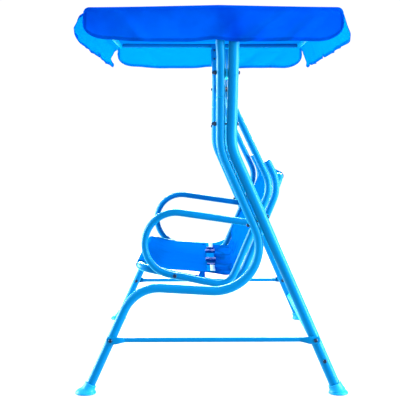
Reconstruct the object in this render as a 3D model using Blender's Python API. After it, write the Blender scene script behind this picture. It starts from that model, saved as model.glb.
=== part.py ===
"""Children's two-seat garden swing with a canopy, as an assembly of its real pieces.

Frame: X runs from the front (-X) to the back (+X), Y across the swing, +Z up.
The origin is on the ground, in the middle of the four feet's footprint box.
Lengths are in metres. The left side is -Y, the right side is +Y.
"""
import math

import bmesh
import bpy
from mathutils import Matrix, Vector

# ---------------------------------------------------------------- driving dimensions
GAP = 0.0003                    # air kept between pieces that touch
SIDES = 12                      # facets round a tube
BEND_STEP = math.radians(15.0)  # largest turn between two rings of a bend

FRAME_Y = 0.510                 # planes of the two side frames
ARM_Y = 0.385                   # planes of the hanger and armrest tubes
RAIL_Y = 0.3620                 # planes of the seat frame tube's sides
BACK_Y = 0.3390                 # planes of the backrest tube's legs

FRONT_R = 0.0127                # front frame tube, outer radius
REAR_R = 0.0150                 # rear leg tube
ARM_R = 0.0100                  # hanger and armrest tube
RAIL_R = 0.0110                 # seat frame tube
BACK_R = 0.0110                 # backrest tube
CROSS_R = 0.0125                # top crossbar
STRETCHER_R = 0.0095            # rear stretcher between the rear legs
BAR_R = 0.0080                  # rear seat bar and canopy bars
BRACE_R = 0.0064                # side brace

# Side frame centre lines, in the plane of the frame (X, Z).
REAR_KNEE = (0.0545, 0.6785)
REAR_SLOPE = 0.436              # how far the leg runs back for each metre down
REAR_LEAN = 0.0266              # how far the upright leans back for each metre up
POST_TOP_Z = 1.0380
FRONT_KNEE = (0.0243, 0.6720)
FRONT_SLOPE = 0.4395
FRONT_LEAN = 0.0070
JOINT_Z = 0.8155                # where the upper post plugs into the front frame tube
KNEE_R = 0.150
SWEEP_Z = 0.2704                # height of the corner that the big rear curve rounds
SWEEP_R = 0.1229
LOW_CORNER = (-0.2110, 0.2933)  # corner that the front curve rounds
LOW_R = 0.105
LEG_SLOPE = 0.455               # how far the front leg runs forward for each metre down
LEG_END_Z = 0.0090
POST_LEAN_START = (0.0262, 0.9205)
POST_TOP_X = 0.0205

# Seat side centre lines (X, Z).
PIVOT = (0.0420, 0.8425)
APEX = (0.1739, 0.5627)
ARM_HEEL = (0.0511, 0.2748)
ARM_LOOP_CENTRE = (-0.1013, 0.3964)
ARM_LOOP_R = 0.0908
ARM_END = (0.1060, 0.4580)
RAIL_TOP = (0.1642, 0.6333)
RAIL_APEX = (0.1986, 0.5637)
RAIL_HEEL = (0.0739, 0.2665)
RAIL_FRONT = (-0.2082, 0.3262)
BACK_FOOT = (0.1110, 0.3605)
BACK_TOP = (0.2035, 0.5885)
REAR_BAR = (0.0740, 0.2785)

# Bolts: where they sit on the tubes.
POST_BOLT_Z = {"upper": 0.8835, "lower": 0.7425}
LEG_BOLT_Z = 0.4685
BRACE_Z = {"front": 0.1475, "rear": 0.1495}
STRETCHER_Z = 0.0915
ARM_BOLT = (-0.1044, 0.3050)
STAY_BOLT_Z = 0.3765
BOLT_R = 0.0030
HOLE_R = 0.0034
HEAD_R = 0.0056
PIN_R = 0.0040

CROSSBAR = (0.0418, 0.8835)
EAR_INNER = 0.0106              # half the room between a pair of hanging ears
EAR_THICK = 0.0030

# Canopy.
CANOPY_FRONT_X = -0.352
CANOPY_REAR_X = 0.362
CANOPY_Y = 0.530
CANOPY_TOP_Z = 1.0625
CANOPY_DROP = 0.0960
CANOPY_CROWN = 0.003
CLOTH = 0.0022

# ---------------------------------------------------------------- helpers


def clear_scene():
    for obj in list(bpy.data.objects):
        bpy.data.objects.remove(obj, do_unlink=True)


def material(name, colour, roughness, metallic=0.0):
    mat = bpy.data.materials.new(name)
    mat.use_nodes = True
    shader = mat.node_tree.nodes["Principled BSDF"]
    shader.inputs["Base Color"].default_value = (*colour, 1.0)
    shader.inputs["Roughness"].default_value = roughness
    shader.inputs["Metallic"].default_value = metallic
    mat.diffuse_color = (*colour, 1.0)
    return mat


def finish_mesh(name, bm, mat, smooth=True):
    bmesh.ops.recalc_face_normals(bm, faces=bm.faces)
    mesh = bpy.data.meshes.new(name)
    bm.to_mesh(mesh)
    bm.free()
    obj = bpy.data.objects.new(name, mesh)
    bpy.context.scene.collection.objects.link(obj)
    mesh.materials.append(mat)
    if smooth:
        mesh.shade_smooth()
        mesh.set_sharp_from_angle(angle=math.radians(40.0))
    return obj


def flat(point, y):
    """A point of a side profile (X, Z), placed in the plane at y."""
    return Vector((point[0], y, point[1]))


def rounded_path(corners, radii):
    """A path through corners, with each inner corner rounded to its radius."""
    path = [corners[0].copy()]
    for before, corner, after, radius in zip(corners, corners[1:], corners[2:], radii):
        back = (before - corner).normalized()
        ahead = (after - corner).normalized()
        turn = math.pi - back.angle(ahead)
        inward = (back + ahead).normalized()
        centre = corner + inward * (radius / math.cos(turn / 2))
        start = corner + back * (radius * math.tan(turn / 2)) - centre
        axis = back.cross(ahead)
        steps = max(2, math.ceil(turn / BEND_STEP))
        for i in range(steps + 1):
            path.append(centre + Matrix.Rotation(-turn * i / steps, 3, axis) @ start)
    path.append(corners[-1].copy())
    return path


def sweep(bm, path, sizes, across, sides=SIDES):
    """A closed tube along path. sizes gives each ring's half size across and in plane."""
    rings = []
    side = across.normalized()
    for i, point in enumerate(path):
        into = (point - path[i - 1]).normalized() if i > 0 else None
        out = (path[i + 1] - point).normalized() if i + 1 < len(path) else None
        if into and out:
            along = (into + out).normalized()
        else:
            along = into or out
        side = (side - along * side.dot(along)).normalized()
        other = along.cross(side)
        wide, deep = sizes[i] if isinstance(sizes, list) else (sizes, sizes)
        ring = []
        for k in range(sides):
            angle = 2 * math.pi * (k + 0.5) / sides
            offset = side * (wide * math.cos(angle)) + other * (deep * math.sin(angle))
            ring.append(bm.verts.new(point + offset))
        rings.append(ring)
    join_rings(bm, rings)


def join_rings(bm, rings, cap_start=True, cap_end=True):
    for low, high in zip(rings, rings[1:]):
        count = len(low)
        for k in range(count):
            bm.faces.new((low[k], low[(k + 1) % count], high[(k + 1) % count], high[k]))
    if cap_start:
        bm.faces.new(list(reversed(rings[0])))
    if cap_end:
        bm.faces.new(rings[-1])


def turned(bm, base, axis, profile, sides=10, twist=0.0):
    """A turned solid: profile is a list of (height, radius) along axis from base."""
    axis = axis.normalized()
    side = axis.orthogonal().normalized()
    other = axis.cross(side)
    rings = []
    for height, radius in profile:
        ring = []
        for k in range(sides):
            angle = 2 * math.pi * k / sides + twist
            around = side * math.cos(angle) + other * math.sin(angle)
            ring.append(bm.verts.new(base + axis * height + around * radius))
        rings.append(ring)
    join_rings(bm, rings)


def bored(bm, base, axis, outside, bore, sides=12):
    """A turned ring open at both ends: outside and bore are (height, radius) lists."""
    axis = axis.normalized()
    side = axis.orthogonal().normalized()
    other = axis.cross(side)
    rings = []
    for height, radius in outside + bore[::-1]:
        ring = []
        for k in range(sides):
            angle = 2 * math.pi * k / sides
            around = side * math.cos(angle) + other * math.sin(angle)
            ring.append(bm.verts.new(base + axis * height + around * radius))
        rings.append(ring)
    join_rings(bm, rings + [rings[0]], cap_start=False, cap_end=False)


def box(bm, low, high):
    corners = [bm.verts.new((x, y, z)) for x in (low[0], high[0])
               for y in (low[1], high[1]) for z in (low[2], high[2])]
    for loop in ((0, 1, 3, 2), (4, 6, 7, 5), (0, 4, 5, 1), (2, 3, 7, 6), (0, 2, 6, 4), (1, 5, 7, 3)):
        bm.faces.new([corners[i] for i in loop])


def prism(bm, outline, y_low, y_high):
    """A flat plate: outline is a list of (X, Z) points, from y_low to y_high."""
    near = [bm.verts.new((x, y_low, z)) for x, z in outline]
    far = [bm.verts.new((x, y_high, z)) for x, z in outline]
    join_rings(bm, [near, far])


def cut(obj, build_cutter):
    """Subtract what build_cutter(bm) makes from obj."""
    bm = bmesh.new()
    build_cutter(bm)
    cutter = finish_mesh(obj.name + "_cutter", bm, obj.data.materials[0], smooth=False)
    cutter.hide_render = True
    cutter.display_type = "WIRE"
    modifier = obj.modifiers.new("cut", "BOOLEAN")
    modifier.operation = "DIFFERENCE"
    modifier.object = cutter


def weld(obj, build_addition):
    """Join what build_addition(bm) makes to obj as one solid."""
    bm = bmesh.new()
    build_addition(bm)
    addition = finish_mesh(obj.name + "_weld", bm, obj.data.materials[0], smooth=False)
    addition.hide_render = True
    addition.display_type = "WIRE"
    modifier = obj.modifiers.new("weld", "BOOLEAN")
    modifier.operation = "UNION"
    modifier.object = addition


def drill(bm, point, axis, half_length, radius=HOLE_R, sides=10):
    axis = axis.normalized()
    turned(bm, point - axis * half_length, axis, [(0.0, radius), (2 * half_length, radius)], sides)


# ---------------------------------------------------------------- places worked out
X_AXIS = Vector((1.0, 0.0, 0.0))
Y_AXIS = Vector((0.0, 1.0, 0.0))
Z_AXIS = Vector((0.0, 0.0, 1.0))
SIDE_NAMES = ((-1, "left"), (1, "right"))


def rear_leg_x(z):
    if z < REAR_KNEE[1]:
        return REAR_KNEE[0] + REAR_SLOPE * (REAR_KNEE[1] - z)
    return REAR_KNEE[0] + REAR_LEAN * (z - REAR_KNEE[1])


def front_post_x(z):
    if z > POST_LEAN_START[1]:
        share = (z - POST_LEAN_START[1]) / (POST_TOP_Z - POST_LEAN_START[1])
        return POST_LEAN_START[0] + share * (POST_TOP_X - POST_LEAN_START[0])
    return FRONT_KNEE[0] + FRONT_LEAN * (z - FRONT_KNEE[1])


def front_slant_x(z):
    return FRONT_KNEE[0] + FRONT_SLOPE * (FRONT_KNEE[1] - z)


def front_leg_x(z):
    return LOW_CORNER[0] - LEG_SLOPE * (LOW_CORNER[1] - z)


def between(a, b, z):
    """X of the straight line from a to b, both (X, Z), at height z."""
    return a[0] + (b[0] - a[0]) * (z - a[1]) / (b[1] - a[1])


def on_circle(centre, radius, degrees):
    angle = math.radians(degrees)
    return (centre[0] + radius * math.cos(angle), centre[1] + radius * math.sin(angle))


FRONT_LEG_END = (front_leg_x(LEG_END_Z), LEG_END_Z)
REAR_LEG_END = (rear_leg_x(LEG_END_Z), LEG_END_Z)
SWEEP_CORNER = (front_slant_x(SWEEP_Z), SWEEP_Z)
SLANT_AXIS = Vector((1.0, 0.0, FRONT_SLOPE)).normalized()
STAY_BOLT = ((between(RAIL_HEEL, RAIL_APEX, STAY_BOLT_Z) + between(BACK_FOOT, BACK_TOP, STAY_BOLT_Z)) / 2,
             STAY_BOLT_Z)
SEAT_BAR_REACH = RAIL_Y - RAIL_R - GAP

# ---------------------------------------------------------------- side frames


def make_rear_leg(sign, side, mat):
    y = sign * FRAME_Y
    corners = [flat((rear_leg_x(POST_TOP_Z), POST_TOP_Z), y), flat(REAR_KNEE, y), flat(REAR_LEG_END, y)]
    bm = bmesh.new()
    sweep(bm, rounded_path(corners, [KNEE_R]), REAR_R, Y_AXIS)
    obj = finish_mesh("rear_leg_" + side, bm, mat)

    def holes(bm):
        for z in POST_BOLT_Z.values():
            drill(bm, Vector((rear_leg_x(z), y, z)), X_AXIS, 0.024)
        drill(bm, leg_bolt_centre(sign) + SLANT_AXIS * 0.0300, SLANT_AXIS, 0.024)
        for z in (BRACE_Z["rear"], STRETCHER_Z):
            drill(bm, Vector((rear_leg_x(z), y, z)), Y_AXIS, 0.030)

    cut(obj, holes)


def leg_bolt_centre(sign):
    """Where the bolt through both slanting tubes crosses the front tube's centre line."""
    return Vector((front_slant_x(LEG_BOLT_Z), sign * FRAME_Y, LEG_BOLT_Z))


def make_front_tube(sign, side, mat):
    y = sign * FRAME_Y
    corners = [flat((front_post_x(JOINT_Z), JOINT_Z), y), flat(FRONT_KNEE, y), flat(SWEEP_CORNER, y),
               flat(LOW_CORNER, y), flat(FRONT_LEG_END, y)]
    bm = bmesh.new()
    sweep(bm, rounded_path(corners, [KNEE_R, SWEEP_R, LOW_R]), FRONT_R, Y_AXIS)
    obj = finish_mesh("front_frame_tube_" + side, bm, mat)

    def holes(bm):
        z = POST_BOLT_Z["lower"]
        drill(bm, Vector((front_post_x(z), y, z)), X_AXIS, 0.0155)
        drill(bm, leg_bolt_centre(sign), SLANT_AXIS, 0.0145)
        z = BRACE_Z["front"]
        drill(bm, Vector((front_leg_x(z), y, z)), Y_AXIS, 0.030)
        top = Vector((front_post_x(JOINT_Z), y, JOINT_Z))
        turned(bm, top + Z_AXIS * 0.002, -Z_AXIS, [(0.0, 0.0109), (0.0440, 0.0109)], sides=12)

    cut(obj, holes)


def make_upper_post(sign, side, mat):
    """The top length of the front upright, with a spigot that enters the tube below."""
    y = sign * FRAME_Y
    joint = Vector((front_post_x(JOINT_Z), y, JOINT_Z))
    spigot_r = 0.0105
    rows = [(joint - Z_AXIS * 0.040, spigot_r), (joint + Z_AXIS * GAP, spigot_r),
            (joint + Z_AXIS * GAP, FRONT_R), (flat(POST_LEAN_START, y), FRONT_R),
            (flat((POST_TOP_X, POST_TOP_Z), y), FRONT_R)]
    bm = bmesh.new()
    rings = []
    for point, radius in rows:
        ring = []
        for k in range(SIDES):
            angle = 2 * math.pi * (k + 0.5) / SIDES
            ring.append(bm.verts.new(point + Vector((math.sin(angle), math.cos(angle), 0.0)) * radius))
        rings.append(ring)
    join_rings(bm, rings)
    obj = finish_mesh("upper_post_" + side, bm, mat)

    def holes(bm):
        z = POST_BOLT_Z["upper"]
        drill(bm, Vector((front_post_x(z), y, z)), X_AXIS, 0.0155)
        for z in CANOPY_SCREW_Z:
            drill(bm, Vector((CANOPY_SCREW_X, y, z)), Y_AXIS, 0.030, radius=0.0022, sides=8)

    cut(obj, holes)


def make_foot(sign, side, where, mat):
    """A moulded boot: a round sole that rises into a tilted collar round the leg."""
    y = sign * FRAME_Y
    front = where == "front"
    end = FRONT_LEG_END if front else REAR_LEG_END
    slope = LEG_SLOPE if front else -REAR_SLOPE
    tube_r = FRONT_R if front else REAR_R
    sole_x, sole_r = (-0.3470, 0.0290) if front else (0.3497, 0.0270)
    up = Vector((slope, 0.0, 1.0)).normalized()
    base = Vector((end[0], y, end[1]))
    sole = Vector((sole_x, y, 0.0))
    collar = base + up * 0.0200
    rows = [
        (sole, Z_AXIS, sole_r - 0.0012),
        (sole + Z_AXIS * 0.0018, Z_AXIS, sole_r),
        (sole + Z_AXIS * 0.0050, Z_AXIS, sole_r - 0.0006),
        (sole + Vector((slope * 0.006, 0.0, 0.0085)), Z_AXIS + up * 0.5, sole_r - 0.0050),
        (base + up * 0.0045, Z_AXIS * 0.5 + up, tube_r + 0.0062),
        (base + up * 0.0110, up, tube_r + 0.0044),
        (collar, up, tube_r + 0.0034),
        (collar, up, tube_r + GAP),
        (base - up * GAP, up, tube_r + GAP),
    ]
    bm = bmesh.new()
    rings = []
    for centre, normal, radius in rows:
        ahead = Y_AXIS.cross(normal).normalized()
        ring = []
        for k in range(16):
            angle = 2 * math.pi * (k + 0.5) / 16
            offset = ahead * math.sin(angle) + Y_AXIS * math.cos(angle)
            ring.append(bm.verts.new(centre + offset * radius))
        rings.append(ring)
    join_rings(bm, rings)
    finish_mesh(f"foot_{where}_{side}", bm, mat)


BRACE_FLAT = 0.0016             # half the thickness of a side brace's flattened end


def brace_end(sign, where):
    """Centre of the leg at the side brace's height, and the leg tube's radius."""
    z = BRACE_Z[where]
    if where == "front":
        return Vector((front_leg_x(z), sign * FRAME_Y, z)), FRONT_R
    return Vector((rear_leg_x(z), sign * FRAME_Y, z)), REAR_R


def make_brace(sign, side, mat):
    """A thin tube from leg to leg, pressed flat at both ends over the outer faces."""
    front, front_leg_r = brace_end(sign, "front")
    rear, rear_leg_r = brace_end(sign, "rear")
    out = Vector((0.0, sign, 0.0))
    front_face = front + out * (front_leg_r + GAP + BRACE_FLAT)
    rear_face = rear + out * (rear_leg_r + GAP + BRACE_FLAT)
    along = (rear - front).normalized()
    path = [front_face - along * 0.0110, front_face - along * 0.0080, front_face + along * 0.0140,
            front + out * 0.0120 + along * 0.0250, front + out * 0.0060 + along * 0.0400,
            rear + out * 0.0060 - along * 0.0420, rear + out * 0.0130 - along * 0.0270,
            rear_face - along * 0.0160, rear_face + along * 0.0080, rear_face + along * 0.0110]
    end = (0.0070, BRACE_FLAT)
    plate = (0.0105, BRACE_FLAT)
    neck = (0.0082, 0.0042)
    tube = (BRACE_R, BRACE_R)
    bm = bmesh.new()
    sweep(bm, path, [end, plate, plate, neck, tube, tube, neck, plate, plate, end], Z_AXIS, sides=10)
    obj = finish_mesh("side_brace_" + side, bm, mat)

    def holes(bm):
        drill(bm, front_face, Y_AXIS, 0.006)
        drill(bm, rear_face, Y_AXIS, 0.006)

    cut(obj, holes)


def make_stretcher(mat):
    """The tube that ties the rear legs together; its ends take the stretcher bolts."""
    x = rear_leg_x(STRETCHER_Z)
    reach = FRAME_Y - REAR_R - GAP
    bm = bmesh.new()
    sweep(bm, [Vector((x, -reach, STRETCHER_Z)), Vector((x, reach, STRETCHER_Z))], STRETCHER_R, Z_AXIS)
    obj = finish_mesh("rear_stretcher", bm, mat)

    def holes(bm):
        for sign in (-1, 1):
            drill(bm, Vector((x, sign * reach, STRETCHER_Z)), Y_AXIS, 0.030)

    cut(obj, holes)


# ---------------------------------------------------------------- crossbar and pivots


def make_crossbar(mat):
    """The beam between the side frames, with its end tongues and hanging ears welded on."""
    reach = FRAME_Y - REAR_R - 0.0030
    bm = bmesh.new()
    sweep(bm, [flat(CROSSBAR, -reach), flat(CROSSBAR, reach)], CROSS_R, Z_AXIS)
    obj = finish_mesh("top_crossbar", bm, mat)

    def tongues(bm):
        for sign in (-1, 1):
            low, high = sorted((sign * (reach - 0.008), sign * (FRAME_Y + 0.012)))
            box(bm, (CROSSBAR[0] - 0.0022, low, CROSSBAR[1] - 0.0105),
                (CROSSBAR[0] + 0.0022, high, CROSSBAR[1] + 0.0105))

    def ears(bm):
        outline = []
        for k in range(9):
            outline.append(on_circle(CROSSBAR, 0.0120, 180.0 * k / 8))
        for k in range(9):
            outline.append(on_circle(PIVOT, 0.0105, 180.0 + 180.0 * k / 8))
        for sign in (-1, 1):
            for face in (-1, 1):
                near = sign * ARM_Y + face * EAR_INNER
                low, high = sorted((near, near + face * EAR_THICK))
                prism(bm, outline, low, high)

    weld(obj, tongues)
    weld(obj, ears)

    def holes(bm):
        for sign in (-1, 1):
            drill(bm, flat(CROSSBAR, sign * FRAME_Y), X_AXIS, 0.004)
            drill(bm, flat(PIVOT, sign * ARM_Y), Y_AXIS, 0.016, radius=PIN_R + 0.0003, sides=16)

    cut(obj, holes)


def make_pivot(sign, side, steel, nylon):
    """The bolt, nut and bush that one hanger swings on."""
    out = Vector((0.0, sign, 0.0))
    centre = flat(PIVOT, sign * ARM_Y)
    reach = EAR_INNER + EAR_THICK + GAP
    bm = bmesh.new()
    turned(bm, centre + out * (reach + 0.0050), -out, [
        (0.0, 0.0058), (0.0012, 0.0072), (0.0050, 0.0072), (0.0050, PIN_R),
        (2 * reach + 0.0130, PIN_R)], sides=16)
    finish_mesh("pivot_bolt_" + side, bm, steel)
    bm = bmesh.new()
    bored(bm, centre - out * reach, -out, [(0.0, 0.0076), (0.0065, 0.0076)],
          [(0.0, PIN_R + 0.0004), (0.0065, PIN_R + 0.0004)], sides=12)
    finish_mesh("pivot_nut_" + side, bm, steel)
    bm = bmesh.new()
    half = EYE_HALF + 0.0021
    bored(bm, centre - Y_AXIS * half, Y_AXIS,
          [(0.0, 0.0088), (0.0018, 0.0088), (0.0018, 0.0062), (2 * half, 0.0062)],
          [(0.0, PIN_R + 0.0003), (2 * half, PIN_R + 0.0003)], sides=20)
    finish_mesh("pivot_bush_" + side, bm, nylon)


# ---------------------------------------------------------------- seat assembly
EYE_HALF = 0.0074               # half the width of the hanger's flattened eye


def tangent_angle(point, turn):
    """Degrees round the armrest loop where the line from point touches it, on the side given by turn."""
    dx = point[0] - ARM_LOOP_CENTRE[0]
    dz = point[1] - ARM_LOOP_CENTRE[1]
    away = math.degrees(math.atan2(dz, dx))
    return (away + turn * math.degrees(math.acos(ARM_LOOP_R / math.hypot(dx, dz)))) % 360.0


def loop_corner(first, second):
    """The corner of two lines that touch the armrest loop at these angles."""
    half = math.radians(second - first) / 2
    return on_circle(ARM_LOOP_CENTRE, ARM_LOOP_R / math.cos(half), (first + second) / 2)


def make_hanger(sign, side, mat):
    """Hanger, back stay, lower side and armrest loop, bent from one tube."""
    y = sign * ARM_Y
    top = flat(PIVOT, y)
    down = (flat(APEX, y) - top).normalized()
    low = tangent_angle(ARM_HEEL, -1)
    high = tangent_angle(ARM_END, 1)
    middle = (low + high) / 2
    profile = (PIVOT, APEX, ARM_HEEL, loop_corner(low, middle), loop_corner(middle, high), ARM_END)
    corners = [flat(point, y) for point in profile]
    bends = rounded_path(corners, [0.088, 0.050, ARM_LOOP_R, ARM_LOOP_R])
    path = [top - down * 0.0125, top - down * 0.0070, top + down * 0.0160, top + down * 0.0400] + bends[1:]
    path[-1] = path[-2].lerp(path[-1], 0.90)
    path.append(corners[-1] - (corners[-1] - corners[-2]).normalized() * 0.0060)
    path.append(corners[-1] + (corners[-1] - corners[-2]).normalized() * 0.0040)
    pressed = (EYE_HALF, 0.0116)
    tube = (ARM_R, ARM_R)
    sizes = [(EYE_HALF, 0.0078), pressed, pressed] + [tube] * (len(path) - 5) + [(0.0112, 0.0060)] * 2
    bm = bmesh.new()
    sweep(bm, path, sizes, Y_AXIS)
    obj = finish_mesh("hanger_arm_" + side, bm, mat)

    def holes(bm):
        drill(bm, top, Y_AXIS, 0.020, radius=0.0066, sides=20)
        drill(bm, flat(ARM_BOLT, y), Y_AXIS, 0.020)

    cut(obj, holes)


def make_seat_frame(mat):
    """Front bar, side rails and back stays, bent from one tube."""
    profile = [RAIL_TOP, RAIL_APEX, RAIL_HEEL, RAIL_FRONT]
    corners = [flat(point, -RAIL_Y) for point in profile] + [flat(point, RAIL_Y) for point in profile[::-1]]
    bm = bmesh.new()
    sweep(bm, rounded_path(corners, [0.100, 0.078, 0.036, 0.036, 0.078, 0.100]), RAIL_R, Y_AXIS)
    obj = finish_mesh("seat_frame_tube", bm, mat)

    def holes(bm):
        for sign in (-1, 1):
            y = sign * RAIL_Y
            drill(bm, flat(ARM_BOLT, y), Y_AXIS, 0.020)
            drill(bm, flat(STAY_BOLT, y - sign * 0.010), Y_AXIS, 0.0180)

    cut(obj, holes)


def make_backrest(mat):
    """The inverted U that holds the top of the sling, bolted inside the back stays."""
    corners = [flat(BACK_FOOT, -BACK_Y), flat(BACK_TOP, -BACK_Y), flat(BACK_TOP, BACK_Y),
               flat(BACK_FOOT, BACK_Y)]
    bm = bmesh.new()
    sweep(bm, rounded_path(corners, [0.036, 0.036]), BACK_R, Y_AXIS)
    obj = finish_mesh("backrest_tube", bm, mat)

    def holes(bm):
        for sign in (-1, 1):
            drill(bm, flat(STAY_BOLT, sign * BACK_Y), Y_AXIS, 0.020)

    cut(obj, holes)


def make_rear_bar(mat):
    """The bar under the sling's rear corner, between the side rails."""
    bm = bmesh.new()
    sweep(bm, [flat(REAR_BAR, -SEAT_BAR_REACH), flat(REAR_BAR, SEAT_BAR_REACH)], BAR_R, Z_AXIS)
    finish_mesh("seat_rear_bar", bm, mat)


def ribbon(bm, path, half_widths, thickness):
    """A strip of cloth across Y: path is a side profile of (X, Z) points."""
    points = [Vector(spot) for spot in path]
    rows = []
    for i, point in enumerate(points):
        along = (points[min(i + 1, len(points) - 1)] - points[max(i - 1, 0)]).normalized()
        normal = Vector((-along.y, along.x)) * (thickness / 2)
        row = []
        for offset, y in ((normal, -1), (normal, 1), (-normal, 1), (-normal, -1)):
            spot = point + offset
            row.append(bm.verts.new((spot.x, y * half_widths[i], spot.y)))
        rows.append(row)
    join_rings(bm, rows)


def arc_points(centre, radius, start, end, steps):
    """Points of an arc in the side view, angles in degrees from +X towards +Z."""
    return [on_circle(centre, radius, start + (end - start) * i / steps) for i in range(steps + 1)]


def spline(points, steps):
    """A smooth curve through points (Catmull-Rom), with steps pieces for each span."""
    padded = [points[0]] + list(points) + [points[-1]]
    curve = []
    for a, b, c, d in zip(padded, padded[1:], padded[2:], padded[3:]):
        for i in range(steps):
            t = i / steps
            curve.append(tuple(0.5 * (2 * q + (r - p) * t + (2 * p - 5 * q + 4 * r - s) * t * t
                                      + (3 * q - p - 3 * r + s) * t ** 3)
                               for p, q, r, s in zip(a, b, c, d)))
    curve.append(tuple(points[-1]))
    return curve


def step_between(value, table):
    """Straight-line interpolation in a table of (key, result) pairs with rising keys."""
    for (low, first), (high, second) in zip(table, table[1:]):
        if value <= high:
            share = max(0.0, (value - low) / (high - low))
            return first + (second - first) * share
    return table[-1][1]


SLEEVE = 0.0022                 # the cloth's middle line stands this far off a tube
SEAT_LINE = ((-0.1720, 0.3270), (-0.1400, 0.3190), (-0.0600, 0.3115), (0.0200, 0.3045), (0.0580, 0.3015),
             (0.0740, 0.3065), (0.0800, 0.3285), (0.0870, 0.3625), (0.1160, 0.4225), (0.1540, 0.4985),
             (0.1790, 0.5520))
SLING_HALF_BY_X = ((-0.230, 0.3160), (-0.195, 0.3160), (-0.165, 0.3420), (-0.140, 0.3460), (0.060, 0.3460))
SLING_HALF_BY_Z = ((0.3055, 0.3460), (0.3525, 0.3400), (0.4205, 0.3340), (0.4905, 0.3180), (0.5505, 0.3050),
                   (0.5805, 0.2980))
TAB_LOOP = (-0.0440, -0.0170, -0.0170, -0.0440)    # X of a side tab's four edges
TAB_LIFT = (0.0005, 0.0005, -0.0005, -0.0005)
TAB_ROOT_Z = 0.3087             # middle of the tab where it joins the sling


def rail_z(x):
    """Height of a side rail's centre line."""
    share = (x - RAIL_FRONT[0]) / (RAIL_HEEL[0] - RAIL_FRONT[0])
    return RAIL_FRONT[1] + (RAIL_HEEL[1] - RAIL_FRONT[1]) * share


def sling_half(x, z):
    """Half the sling's width where its middle line passes (x, z)."""
    if x > 0.0 and z > SLING_HALF_BY_Z[0][0]:
        return step_between(z, SLING_HALF_BY_Z)
    return step_between(x, SLING_HALF_BY_X)


def make_sling(mat):
    """Seat and back in one cloth: sleeves at both ends and a tab round each side rail."""
    front = arc_points(RAIL_FRONT, RAIL_R + SLEEVE, 330.0, 72.0, 11)
    top = arc_points(BACK_TOP, BACK_R + SLEEVE, 158.0, -60.0, 10)
    path = front + spline(SEAT_LINE, 2) + top
    bm = bmesh.new()
    ribbon(bm, path, [sling_half(x, z) for x, z in path], CLOTH)
    obj = finish_mesh("seat_sling", bm, mat)

    def tabs(bm):
        around = arc_points((RAIL_Y, 0.0), RAIL_R + 0.0011, 110.0, -130.0, 12)
        for sign in (-1, 1):
            rows = []
            for y in (0.3300, 0.3450):
                rows.append([bm.verts.new((x, sign * y, TAB_ROOT_Z + lift))
                             for x, lift in zip(TAB_LOOP, TAB_LIFT)])
            for y, z in around:
                out = Vector((y - RAIL_Y, z)).normalized() * 0.0005
                rows.append([bm.verts.new((x, sign * (y + out.x * face), rail_z(x) + z + out.y * face))
                             for x, face in zip(TAB_LOOP, (1, 1, -1, -1))])
            join_rings(bm, rows)

    weld(obj, tabs)


BELT_X = (-0.0115, 0.0150)
BELT_Z = 0.3093                 # underside of the belts, on the sling
BELT_THICK = 0.0015


def make_outer_belt(sign, side, webbing, plastic):
    """The outer half of a lap belt, lying on the seat, and the tongue at its end."""
    low, high = sorted((sign * 0.345, sign * 0.214))
    bm = bmesh.new()
    box(bm, (BELT_X[0], low, BELT_Z), (BELT_X[1], high, BELT_Z + BELT_THICK))
    finish_mesh("lap_belt_" + side, bm, webbing)
    low, high = sorted((sign * 0.2137, sign * 0.1790))
    bm = bmesh.new()
    box(bm, (BELT_X[0] + 0.001, low, BELT_Z), (BELT_X[1] - 0.001, high, BELT_Z + 0.0050))
    finish_mesh("belt_tongue_" + side, bm, plastic)


def make_centre_belt(webbing):
    """The inner halves of both belts: one strap sewn down at its middle."""
    bm = bmesh.new()
    box(bm, (BELT_X[0], -0.080, BELT_Z), (BELT_X[1], 0.080, BELT_Z + BELT_THICK))
    finish_mesh("centre_belt", bm, webbing)


def make_socket(sign, side, plastic):
    """The block at the end of an inner belt that takes the tongue."""
    low, high = sorted((sign * 0.0803, sign * 0.1250))
    bm = bmesh.new()
    box(bm, (BELT_X[0] - 0.003, low, BELT_Z), (BELT_X[1] + 0.003, high, BELT_Z + 0.0090))
    finish_mesh("belt_socket_" + side, bm, plastic, smooth=False)


def make_tube_cap(sign, side, mat):
    """The plug in the open top of a back stay."""
    up = (flat(RAIL_TOP, 0.0) - flat(RAIL_APEX, 0.0)).normalized()
    bm = bmesh.new()
    turned(bm, flat(RAIL_TOP, sign * RAIL_Y) + up * GAP, up,
           [(0.0, 0.0108), (0.0018, 0.0108), (0.0034, 0.0080)], sides=SIDES)
    finish_mesh("seat_tube_cap_" + side, bm, mat)


# ---------------------------------------------------------------- canopy
CANOPY_BAR_Z = CANOPY_TOP_Z - CLOTH - GAP - BAR_R
CANOPY_BAR_X = {"front": CANOPY_FRONT_X + 0.0125, "rear": CANOPY_REAR_X - 0.0125}
CANOPY_SCREW_Z = (1.0330, 1.0010)
CANOPY_SCREW_X = 0.0228
TAB_THICK = 0.0022
TAB_FOOT_Z = 0.9890
TAB_FACE = FRAME_Y - FRONT_R - GAP      # outer face of the canopy's tabs, against the posts


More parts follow.
